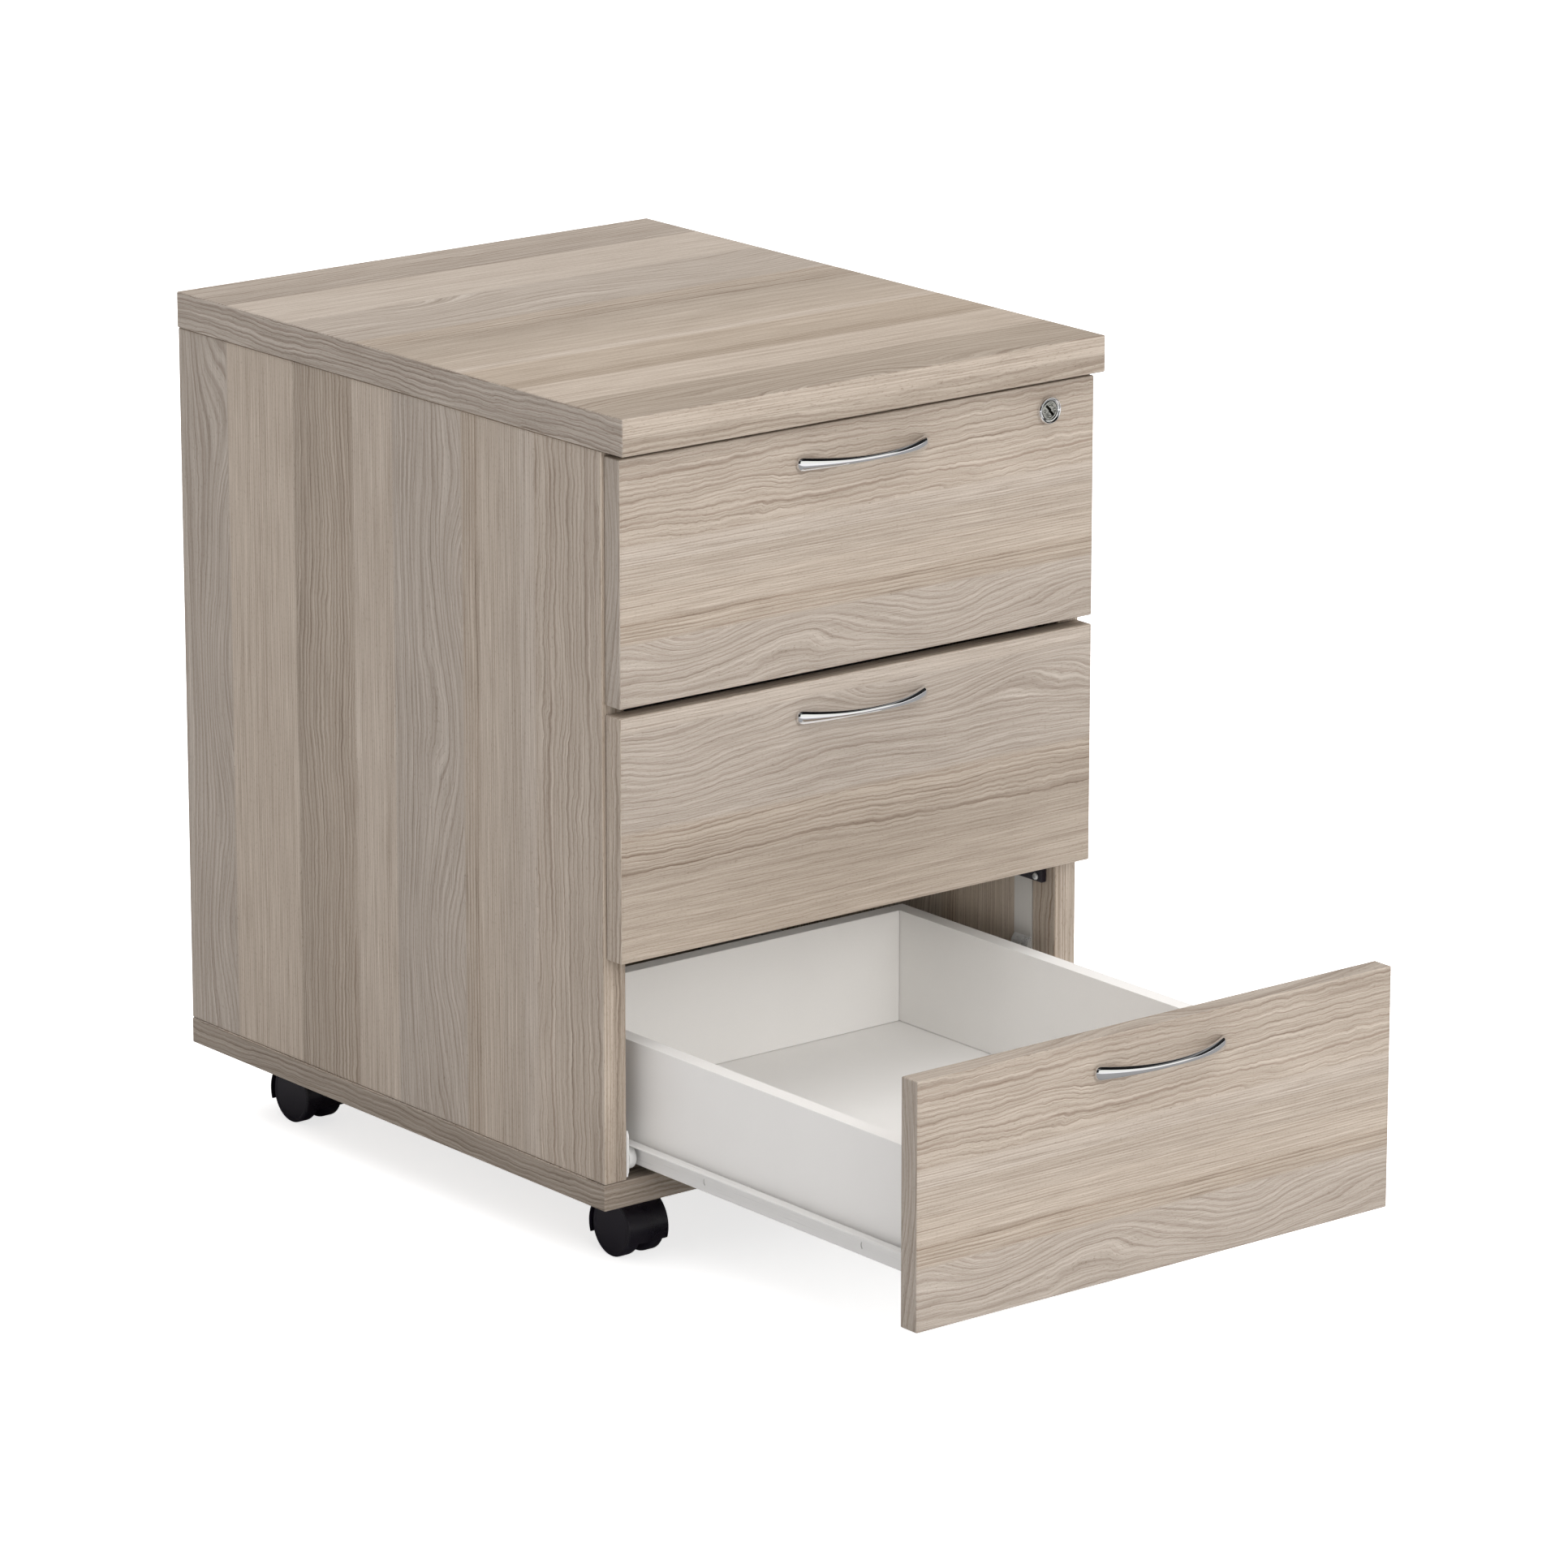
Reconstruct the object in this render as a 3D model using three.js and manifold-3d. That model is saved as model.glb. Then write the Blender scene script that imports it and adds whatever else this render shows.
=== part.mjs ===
// Rolling pedestal cabinet: a three-drawer under-desk pedestal on four twin-wheel castors.
// Millimetres, +Z up. The front faces -Y, +X is to the right as seen from the front.
// Heights are measured from the floor; Y = 0 is the middle of the top panel until the
// whole cabinet is moved so that the origin lies under the middle of its bounding box.
import * as THREE from 'three';
import { mergeVertices } from 'three/addons/utils/BufferGeometryUtils.js';
import Module from 'manifold-3d';

const wasm = await Module();
wasm.setup();

// ---- Driving dimensions -------------------------------------------------------------------

const WIDTH = 404;
const DEPTH = 500;
const HEIGHT = 585;
const JOINT_GAP = 0.2;              // between boards and fittings that rest on each other
const OVERCUT = 1;                  // how far a cutting solid runs past the face it cuts

const TOP_THICKNESS = 25;
const BOARD = 18;                   // sides, base and back
const CARCASS_WIDTH = 402.4;
const BASE_WIDTH = 403;
const CARCASS_FRONT_Y = -225.9;     // front edges of the sides and of the base
const CARCASS_BACK_Y = DEPTH / 2;
const CASTOR_HEIGHT = 49.5;

const FRONT_WIDTH = 398;
const FRONT_HEIGHT = 164.6;
const FRONT_THICKNESS = 16;
const FRONT_FACE_Y = -242.3;
const FRONT_TOPS = [556.8, 386.1, 217.5];
const DRAWER_OPENINGS = [0, 0, 301];

const BOX_HALF_WIDTH = 170;
const BOX_WALL = 12;
const BOX_BACK_Y = 222.3;
const BOX_TOP_DROP = 59.5;          // from the top of a drawer front to the top of its box
const BOX_FLOOR_DROP = 139.6;       // to the upper face of the box's floor
const BOX_FLOOR = 2.8;

const SHEET = 1.2;                  // steel of the runners
const RUNNER_LENGTH = 450;
const LEDGE_DROP = 126.6;           // to the upper face of the ledge on the drawer runner
const LEDGE_EDGE_X = 179.6;
const DRAWER_RUNNER_BOTTOM_DROP = 143.6;
const DRAWER_RUNNER_FOOT = 12;      // width of the flange under the drawer floor
const CABINET_RUNNER_TOP_DROP = 115.8;
const CABINET_RUNNER_BOTTOM_DROP = 148.4;
const CABINET_WEB_X = 180.8;        // inner face of the cabinet runner's web
const CHANNEL_INNER_X = 172.8;      // where the channel's flanges end
const CHANNEL_FRONT_Y = -205;
const UPPER_FLANGE_DROP = 125.5;    // lower face of the flange over the ledge
const FRONT_PAD_LENGTH = 17;        // pads that hold the cabinet runner off the side panel
const MIDDLE_PAD_LENGTH = 20;
const REAR_PAD_LENGTH = 24;

const ROLLER_RADIUS = 8.4;
const ROLLER_WIDTH = 5.8;
const ROLLER_BORE = 2.65;
const ROLLER_PIN = 2.5;
const ROLLER_PLAY = 0.2;
const ROLLER_EDGE = 1;              // chamfer
const FRONT_ROLLER_Y = -217.4;
const REAR_ROLLER_Y = 213;

const HANDLE_LENGTH = 110;
const HANDLE_DROPS = [24, 23, 23];  // centre line below the top of each drawer front
const HANDLE_END_HEIGHT = 9.4;
const HANDLE_MID_HEIGHT = 4.8;
const HANDLE_END_DEPTH = 3.6;
const HANDLE_MID_DEPTH = 5;
const HANDLE_BOW = 12.4;            // how far the middle stands out beyond the ends
const HANDLE_BOW_POWER = 2.2;

const LOCK_X = 159.2;
const LOCK_DROP = 18.1;             // lock axis below the top of the upper drawer front
const LOCK_RING_RADIUS = 9.5;
const LOCK_RING_PROUD = 2.6;
const LOCK_RING_BEVEL = 1.1;
const LOCK_BARREL_RADIUS = 8.2;
const LOCK_CYLINDER_RADIUS = 6.5;
const LOCK_FACE_RECESS = 0.9;       // the cylinder's face lies this far inside the ring
const LOCK_BARREL_PAST = 4;         // the barrel stands this far out behind the front
const KEY_SLOT = [10.4, 12, 1.8];   // length, twice the depth, width
const KEY_SLOT_TILT = 45;
const LOCK_REST_TURN = -45;         // degrees, pin below the horizontal through the lock axis
const LOCK_PIN_OFFSET = 4.2;
const LOCK_PIN_RADIUS = 2;
const LOCK_PIN_END_Y = -188;
const LOCK_PIN_ROOT = 2;            // length of the pin inside the cylinder

const BAR_Y = [-202.2, -184];
const BAR_FACE_X = 182.3;
const BAR_THICKNESS = 2.9;
const BAR_BOTTOM = 151;
const BAR_TOP = 548;
const BAR_CLEARANCE = 0.4;
const CATCH_HEIGHT = 9.4;
const CATCH_X = 179.4;
const BRACKET_Y = [-196, -194.4];
const BRACKET_REACH = 7;            // past the lock's pin, towards the middle of the cabinet
const BRACKET_HALF_HEIGHT = 6.5;
const GUIDE_X = 178.4;
const GUIDE_Y = [-217, -190];
const GUIDE_Z = [202.5, 222];

const WHEEL_RADIUS = 20;
const WHEEL_OUTER_X = 15;
const WHEEL_INNER_X = 2.7;
const HOOD_RADIUS = 22.7;
const HOOD_WALL = 1.5;
const HOOD_HALF_WIDTH = 16.4;
const HOOD_SKIRT_DROP = 7.5;        // the skirts end this far below the axle
const CASTOR_TRAIL = 12;            // axle to swivel axis
const CASTOR_X = 149.8;
const CASTOR_SWIVEL_Y = [-171.7, 196.3];
const CASTOR_PLATE = 42;
const PLATE_THICKNESS = 2.5;
const PLATE_CORNER = 5;
const AXLE_RADIUS = 3;
const AXLE_INSET = 3.4;             // from the wheel's outer face to the end of the axle
const AXLE_PLAY = 0.2;
const WHEEL_DISC = 3;               // thickness of the wheel's closed outer face
const WHEEL_OUTER_BEND = 1.2;
const WHEEL_INNER_BEND = 4.5;
const SWIVEL_PIN_RADIUS = 4;
const SWIVEL_PIN_LENGTH = 7.4;
const SWIVEL_PLAY = 0.3;
const BOSS_RADIUS = 9;
const BOSS_GAP = 0.8;               // from the boss to the plate
const SPINE_HALF = 2;

const WHEEL_SIDES = 24;             // facets round the wheels, hoods and lock
const ROLLER_SIDES = 16;
const PIN_SIDES = 12;

// ---- Finishes -----------------------------------------------------------------------------

function finish(color, roughness, metalness = 0) {
  return new THREE.MeshStandardMaterial({ color, roughness, metalness });
}

const oakTop = finish(0xc4b8a8, 0.55);
const oakFront = finish(0xbbae9d, 0.55);
const oakSide = finish(0xa3978a, 0.6);
const whiteBoard = finish(0xdeddd9, 0.5);
const whiteSteel = finish(0xe6e5e1, 0.4, 0.2);
const whiteNylon = finish(0xefeeea, 0.45);
const chrome = finish(0xd9dadc, 0.12, 1);
const aluminium = finish(0xa8a8a6, 0.45, 0.8);
const zincPlate = finish(0xb9bbbd, 0.35, 0.9);
const blackNylon = finish(0x1d1c20, 0.45);

// ---- Shape helpers ------------------------------------------------------------------------

// A closed solid from a closed geometry, for joining and cutting.
function solid(geometry) {
  const bare = geometry.clone();
  bare.deleteAttribute('normal');
  bare.deleteAttribute('uv');
  const merged = mergeVertices(bare, 1e-4);
  return new wasm.Manifold(new wasm.Mesh({
    numProp: 3,
    vertProperties: new Float32Array(merged.attributes.position.array),
    triVerts: new Uint32Array(merged.index.array),
  }));
}

function geometryOf(manifold) {
  const mesh = manifold.getMesh();
  const geometry = new THREE.BufferGeometry();
  geometry.setAttribute('position', new THREE.BufferAttribute(mesh.vertProperties, 3));
  geometry.setIndex(new THREE.BufferAttribute(mesh.triVerts, 1));
  geometry.computeVertexNormals();
  return geometry;
}

function joined(...geometries) {
  return geometries.map(solid).reduce((whole, piece) => whole.add(piece));
}

function boxBetween(xs, ys, zs) {
  const size = [xs, ys, zs].map(([low, high]) => high - low);
  const middle = [xs, ys, zs].map(([low, high]) => (low + high) / 2);
  return new THREE.BoxGeometry(...size).translate(...middle);
}

// A cylinder along one axis between two stations.
function rod(axis, radius, from, to, centre, sides = PIN_SIDES) {
  const geometry = new THREE.CylinderGeometry(radius, radius, Math.abs(to - from), sides);
  if (axis === 'x') geometry.rotateZ(-Math.PI / 2);
  if (axis === 'z') geometry.rotateX(Math.PI / 2);
  const station = (from + to) / 2;
  const places = {
    x: [station, centre[0], centre[1]],
    y: [centre[0], station, centre[1]],
    z: [centre[0], centre[1], station],
  };
  return geometry.translate(...places[axis]);
}

// A turned piece: profile points are [radius, station], turned about X or Y.
function turned(axis, profile, sides, centre) {
  const points = profile.map(([radius, station]) => new THREE.Vector2(radius, station));
  const geometry = new THREE.LatheGeometry(points, sides);
  if (axis === 'x') geometry.rotateZ(-Math.PI / 2);
  const offset = axis === 'x' ? [0, centre[0], centre[1]] : [centre[0], 0, centre[1]];
  return geometry.translate(...offset);
}

// Points of a quarter circle on a turned profile, from one angle to the other.
function cornerArc(radius, station, bend, fromDegrees, toDegrees, steps) {
  return Array.from({ length: steps + 1 }, (_, i) => {
    const angle = THREE.MathUtils.degToRad(fromDegrees + (toDegrees - fromDegrees) * i / steps);
    return [radius + bend * Math.cos(angle), station + bend * Math.sin(angle)];
  });
}

// A profile drawn in the XZ plane and carried along Y.
function extrudedAlongY(shape, yFrom, yTo) {
  const options = { depth: yTo - yFrom, bevelEnabled: false };
  const geometry = new THREE.ExtrudeGeometry(shape, options);
  return geometry.rotateX(Math.PI / 2).translate(0, yTo, 0);
}

function mirroredX([low, high], side) {
  return side > 0 ? [low, high] : [-high, -low];
}

const pedestal = new THREE.Group();

function addPiece(parent, name, shape, material) {
  const geometry = shape instanceof THREE.BufferGeometry ? shape : geometryOf(shape);
  const mesh = new THREE.Mesh(geometry, material);
  mesh.name = name;
  parent.add(mesh);
  return mesh;
}

const SIDES = [['left', -1], ['right', 1]];

// ---- Carcass ------------------------------------------------------------------------------

const carcass = new THREE.Group();
pedestal.add(carcass);

const BASE_TOP = CASTOR_HEIGHT + BOARD;
const SIDE_TOP = HEIGHT - TOP_THICKNESS - JOINT_GAP;
const SIDE_OUTER_X = CARCASS_WIDTH / 2;
const SIDE_INNER_X = SIDE_OUTER_X - BOARD;
const SIDE_BOTTOM = BASE_TOP + JOINT_GAP;

addPiece(carcass, 'top_panel',
  boxBetween([-WIDTH / 2, WIDTH / 2], [-DEPTH / 2, DEPTH / 2], [HEIGHT - TOP_THICKNESS, HEIGHT]),
  oakTop);

const sidePanel = [[SIDE_INNER_X, SIDE_OUTER_X], [CARCASS_FRONT_Y, CARCASS_BACK_Y], [SIDE_BOTTOM, SIDE_TOP]];
addPiece(carcass, 'left_side_panel',
  boxBetween(mirroredX(sidePanel[0], -1), sidePanel[1], sidePanel[2]), oakSide);

// The right side panel has a groove, open at the top, in which the lock bar slides.
const barGroove = boxBetween(
  [SIDE_INNER_X - OVERCUT, BAR_FACE_X + BAR_THICKNESS + BAR_CLEARANCE],
  [BAR_Y[0] - BAR_CLEARANCE, BAR_Y[1] + BAR_CLEARANCE],
  [BAR_BOTTOM - 2 * CATCH_HEIGHT, SIDE_TOP + OVERCUT]);
addPiece(carcass, 'right_side_panel',
  solid(boxBetween(...sidePanel)).subtract(solid(barGroove)), oakSide);

const backX = SIDE_INNER_X - JOINT_GAP;
addPiece(carcass, 'back_panel',
  boxBetween([-backX, backX], [CARCASS_BACK_Y - BOARD, CARCASS_BACK_Y], [SIDE_BOTTOM, SIDE_TOP]),
  oakSide);

addPiece(carcass, 'base_panel',
  boxBetween([-BASE_WIDTH / 2, BASE_WIDTH / 2], [CARCASS_FRONT_Y, CARCASS_BACK_Y], [CASTOR_HEIGHT, BASE_TOP]),
  oakSide);

// ---- Runners and rollers ------------------------------------------------------------------

const FRONT_BACK_Y = FRONT_FACE_Y + FRONT_THICKNESS;
const RUNNER_FRONT_Y = CARCASS_FRONT_Y + 2 * JOINT_GAP;
const RUNNER_BACK_Y = RUNNER_FRONT_Y + RUNNER_LENGTH;
const DRAWER_WEB_X = BOX_HALF_WIDTH + JOINT_GAP;

// Heights of the two roller axles below the top of a drawer front.
const FRONT_AXLE_DROP = LEDGE_DROP + SHEET + ROLLER_PLAY + ROLLER_RADIUS;
const REAR_AXLE_DROP = CABINET_RUNNER_BOTTOM_DROP - SHEET - ROLLER_PLAY - ROLLER_RADIUS;

// The front roller turns against the cabinet runner, the rear one against the drawer runner.
const FRONT_ROLLER_X = [CABINET_WEB_X - ROLLER_PLAY - ROLLER_WIDTH, CABINET_WEB_X - ROLLER_PLAY];
const REAR_ROLLER_X = [
  DRAWER_WEB_X + SHEET + ROLLER_PLAY,
  DRAWER_WEB_X + SHEET + ROLLER_PLAY + ROLLER_WIDTH,
];

function rollerShape(xs, y, z, side) {
  const [low, high] = mirroredX(xs, side);
  const profile = [
    [ROLLER_BORE, low],
    [ROLLER_RADIUS - ROLLER_EDGE, low],
    [ROLLER_RADIUS, low + ROLLER_EDGE],
    [ROLLER_RADIUS, high - ROLLER_EDGE],
    [ROLLER_RADIUS - ROLLER_EDGE, high],
    [ROLLER_BORE, high],
    [ROLLER_BORE, low],
  ];
  return turned('x', profile, ROLLER_SIDES, [y, z]);
}

// A riveted pin through a roller, with a flat head on the far side of the roller.
function rollerPin(webX, headX, y, z, side) {
  const past = Math.sign(headX - webX);
  const pin = rod('x', ROLLER_PIN, side * webX, side * headX, [y, z]);
  const head = rod('x', 2 * ROLLER_PIN, side * headX, side * (headX + past * SHEET), [y, z]);
  return joined(pin, head);
}

// Channel screwed to the side panel: a web that stands off it on three pads, and two flanges
// that guide the rear roller of the drawer. The flanges begin behind the front roller.
function cabinetRunner(frontTop, side, rollerIsSeparate) {
  const top = frontTop - CABINET_RUNNER_TOP_DROP;
  const bottom = frontTop - CABINET_RUNNER_BOTTOM_DROP;
  const webXs = mirroredX([CABINET_WEB_X, CABINET_WEB_X + SHEET], side);
  const flangeXs = mirroredX([CHANNEL_INNER_X, CABINET_WEB_X + SHEET / 2], side);
  const padXs = mirroredX([CABINET_WEB_X + SHEET / 2, SIDE_INNER_X - JOINT_GAP], side);
  const flangeYs = [CHANNEL_FRONT_Y, RUNNER_BACK_Y];
  const upper = frontTop - UPPER_FLANGE_DROP;
  const padRanges = [
    [RUNNER_FRONT_Y, RUNNER_FRONT_Y + FRONT_PAD_LENGTH],
    [-MIDDLE_PAD_LENGTH / 2, MIDDLE_PAD_LENGTH / 2],
    [RUNNER_BACK_Y - REAR_PAD_LENGTH, RUNNER_BACK_Y],
  ];
  const pads = padRanges.map((ys) => boxBetween(padXs, ys, [bottom, top]));
  const axleZ = frontTop - FRONT_AXLE_DROP;
  const pinHeadX = FRONT_ROLLER_X[0] - ROLLER_PLAY;
  const pin = rollerPin(CABINET_WEB_X + SHEET / 2, pinHeadX, FRONT_ROLLER_Y, axleZ, side);
  const runner = joined(
    boxBetween(webXs, [RUNNER_FRONT_Y, RUNNER_BACK_Y], [bottom, top]),
    boxBetween(flangeXs, flangeYs, [bottom, bottom + SHEET]),
    boxBetween(flangeXs, flangeYs, [upper, upper + SHEET]),
    ...pads,
  ).add(pin);
  if (rollerIsSeparate) return runner;
  const rollerXs = mirroredX([FRONT_ROLLER_X[0], CABINET_WEB_X + SHEET / 2], side);
  const roller = rod('x', ROLLER_RADIUS, ...rollerXs, [FRONT_ROLLER_Y, axleZ], ROLLER_SIDES);
  return runner.add(solid(roller));
}

// Profile that wraps the lower edge of the drawer box: a foot under the floor, a web beside
// the box and a ledge that rides on the front roller.
function drawerRunner(frontTop, side, rollerIsSeparate) {
  const ledgeTop = frontTop - LEDGE_DROP;
  const bottom = frontTop - DRAWER_RUNNER_BOTTOM_DROP;
  const ys = [FRONT_BACK_Y + JOINT_GAP, FRONT_BACK_Y + RUNNER_LENGTH];
  const webXs = mirroredX([DRAWER_WEB_X, DRAWER_WEB_X + SHEET], side);
  const footXs = mirroredX([DRAWER_WEB_X - DRAWER_RUNNER_FOOT, DRAWER_WEB_X + SHEET / 2], side);
  const ledgeXs = mirroredX([DRAWER_WEB_X + SHEET / 2, LEDGE_EDGE_X], side);
  const axleZ = frontTop - REAR_AXLE_DROP;
  const pinHeadX = REAR_ROLLER_X[1] + ROLLER_PLAY;
  const pin = rollerPin(DRAWER_WEB_X + SHEET / 2, pinHeadX, REAR_ROLLER_Y, axleZ, side);
  const runner = joined(
    boxBetween(webXs, ys, [bottom, ledgeTop]),
    boxBetween(footXs, ys, [bottom, bottom + SHEET - JOINT_GAP]),
    boxBetween(ledgeXs, ys, [ledgeTop - SHEET, ledgeTop]),
  ).add(pin);
  if (rollerIsSeparate) return runner;
  const rollerXs = mirroredX([DRAWER_WEB_X + SHEET / 2, REAR_ROLLER_X[1]], side);
  const roller = rod('x', ROLLER_RADIUS, ...rollerXs, [REAR_ROLLER_Y, axleZ], ROLLER_SIDES);
  return runner.add(solid(roller));
}

// ---- Drawers ------------------------------------------------------------------------------

// One bow handle: oval sections along X, tall and thin at the ends, slim and deep in the
// middle, with round ends that lie flat on the drawer front.
function bowHandle(centreZ) {
  const half = HANDLE_LENGTH / 2;
  const endRound = HANDLE_END_HEIGHT / 2;
  const stations = 18;
  const sides = 12;
  const blunt = 0.9995;             // the first and last sections keep a small area
  const positions = [];
  for (let i = 0; i <= stations; i += 1) {
    const x = -half * Math.cos(Math.PI * i / stations) * blunt;
    const u = Math.abs(x) / half;
    const intoEnd = Math.max(0, Math.abs(x) - (half - endRound)) / endRound;
    const taper = Math.sqrt(Math.max(0, 1 - intoEnd * intoEnd));
    const flare = Math.min(1, Math.abs(x) / (half - endRound)) ** 2;
    const height = (HANDLE_MID_HEIGHT + (HANDLE_END_HEIGHT - HANDLE_MID_HEIGHT) * flare) * taper;
    const depth = HANDLE_MID_DEPTH + (HANDLE_END_DEPTH - HANDLE_MID_DEPTH) * u * u;
    const bow = HANDLE_BOW * (1 - u ** HANDLE_BOW_POWER);
    const centreY = FRONT_FACE_Y - JOINT_GAP - HANDLE_END_DEPTH / 2 - bow;
    for (let j = 0; j < sides; j += 1) {
      const angle = 2 * Math.PI * j / sides;
      const y = centreY + depth / 2 * Math.cos(angle);
      positions.push(x, Math.min(y, FRONT_FACE_Y - JOINT_GAP), centreZ + height / 2 * Math.sin(angle));
    }
  }
  const index = [];
  for (let i = 0; i < stations; i += 1) {
    for (let j = 0; j < sides; j += 1) {
      const a = i * sides + j;
      const b = i * sides + (j + 1) % sides;
      index.push(a, b, a + sides, b, b + sides, a + sides);
    }
  }
  for (let j = 1; j < sides - 1; j += 1) {
    index.push(0, j + 1, j);
    const last = stations * sides;
    index.push(last, last + j, last + j + 1);
  }
  const geometry = new THREE.BufferGeometry();
  geometry.setAttribute('position', new THREE.Float32BufferAttribute(positions, 3));
  geometry.setIndex(index);
  geometry.computeVertexNormals();
  return geometry;
}

function frontPanel(frontTop) {
  return boxBetween(
    [-FRONT_WIDTH / 2, FRONT_WIDTH / 2],
    [FRONT_FACE_Y, FRONT_BACK_Y],
    [frontTop - FRONT_HEIGHT, frontTop]);
}

const LOCK_Z = FRONT_TOPS[0] - LOCK_DROP;
const LOCK_CENTRE = [LOCK_X, LOCK_Z];

function lockHousing() {
  const bore = LOCK_CYLINDER_RADIUS + JOINT_GAP;
  const seat = FRONT_FACE_Y - JOINT_GAP;
  const profile = [
    [bore, seat - LOCK_RING_PROUD],
    [LOCK_RING_RADIUS - LOCK_RING_BEVEL, seat - LOCK_RING_PROUD],
    [LOCK_RING_RADIUS, seat - LOCK_RING_PROUD / 2],
    [LOCK_RING_RADIUS, seat],
    [LOCK_BARREL_RADIUS, seat],
    [LOCK_BARREL_RADIUS, FRONT_BACK_Y + LOCK_BARREL_PAST],
    [bore, FRONT_BACK_Y + LOCK_BARREL_PAST],
    [bore, seat - LOCK_RING_PROUD],
  ];
  return turned('y', profile, WHEEL_SIDES, LOCK_CENTRE);
}

// The eccentric pin starts LOCK_REST_TURN from the horizontal, towards the lock bar.
const restTurn = THREE.MathUtils.degToRad(LOCK_REST_TURN);
const PIN_CENTRE = [
  LOCK_X + LOCK_PIN_OFFSET * Math.cos(restTurn),
  LOCK_Z + LOCK_PIN_OFFSET * Math.sin(restTurn),
];

function lockCylinder() {
  const front = FRONT_FACE_Y - LOCK_RING_PROUD + LOCK_FACE_RECESS;
  const back = FRONT_BACK_Y + LOCK_BARREL_PAST + 3 * JOINT_GAP;
  const keySlot = new THREE.BoxGeometry(...KEY_SLOT);
  keySlot.rotateY(THREE.MathUtils.degToRad(KEY_SLOT_TILT)).translate(LOCK_X, front, LOCK_Z);
  const barrel = solid(rod('y', LOCK_CYLINDER_RADIUS, front, back, LOCK_CENTRE, WHEEL_SIDES));
  const pin = solid(rod('y', LOCK_PIN_RADIUS, back - LOCK_PIN_ROOT, LOCK_PIN_END_Y, PIN_CENTRE));
  return barrel.subtract(solid(keySlot)).add(pin);
}

// ---- Lock bar -----------------------------------------------------------------------------

function catchWedge(bottom) {
  const shape = new THREE.Shape([
    [BAR_FACE_X + OVERCUT, bottom],
    [BAR_FACE_X + OVERCUT, bottom + CATCH_HEIGHT],
    [CATCH_X, bottom + CATCH_HEIGHT / 2],
    [CATCH_X, bottom],
  ].map(([x, z]) => new THREE.Vector2(x, z)));
  return extrudedAlongY(shape, BAR_Y[0], BAR_Y[1]);
}

// Flat bar in the groove of the right side panel. Its top bracket holds the lock's eccentric
// pin in a slot that is open front to back; one wedge catch serves each drawer.
function lockBar() {
  const bar = boxBetween([BAR_FACE_X, BAR_FACE_X + BAR_THICKNESS], BAR_Y, [BAR_BOTTOM, BAR_TOP]);
  const [pinX, pinZ] = PIN_CENTRE;
  const bracketX = [pinX - BRACKET_REACH, BAR_FACE_X + OVERCUT];
  const bracketZ = [pinZ - BRACKET_HALF_HEIGHT, pinZ + BRACKET_HALF_HEIGHT];
  const bracket = boxBetween(bracketX, BRACKET_Y, bracketZ);
  const slotHalf = LOCK_PIN_RADIUS + BAR_CLEARANCE;
  const slotX = [pinX - slotHalf - 3 * JOINT_GAP, pinX + slotHalf + LOCK_PIN_OFFSET / 2];
  const slotY = [BRACKET_Y[0] - OVERCUT, BRACKET_Y[1] + OVERCUT];
  const slot = boxBetween(slotX, slotY, [pinZ - slotHalf, pinZ + slotHalf]);
  const catches = FRONT_TOPS.map((top) => catchWedge(BAR_BOTTOM + top - FRONT_TOPS[2]));
  return joined(bar, bracket, ...catches).subtract(solid(slot));
}

addPiece(pedestal, 'lock_bar', lockBar(), aluminium);

// Guide screwed beside the groove; it bridges the lock bar with a small gap.
const guideBody = boxBetween([GUIDE_X, SIDE_INNER_X - JOINT_GAP], GUIDE_Y, GUIDE_Z);
const guideRelief = boxBetween(
  [BAR_FACE_X - BAR_CLEARANCE, SIDE_INNER_X],
  [BAR_Y[0] - BAR_CLEARANCE, GUIDE_Y[1] + OVERCUT],
  [GUIDE_Z[0] - OVERCUT, GUIDE_Z[1] + OVERCUT]);
addPiece(carcass, 'lock_bar_guide', solid(guideBody).subtract(solid(guideRelief)), blackNylon);

// ---- Assemble the drawers and their runners -----------------------------------------------

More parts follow.
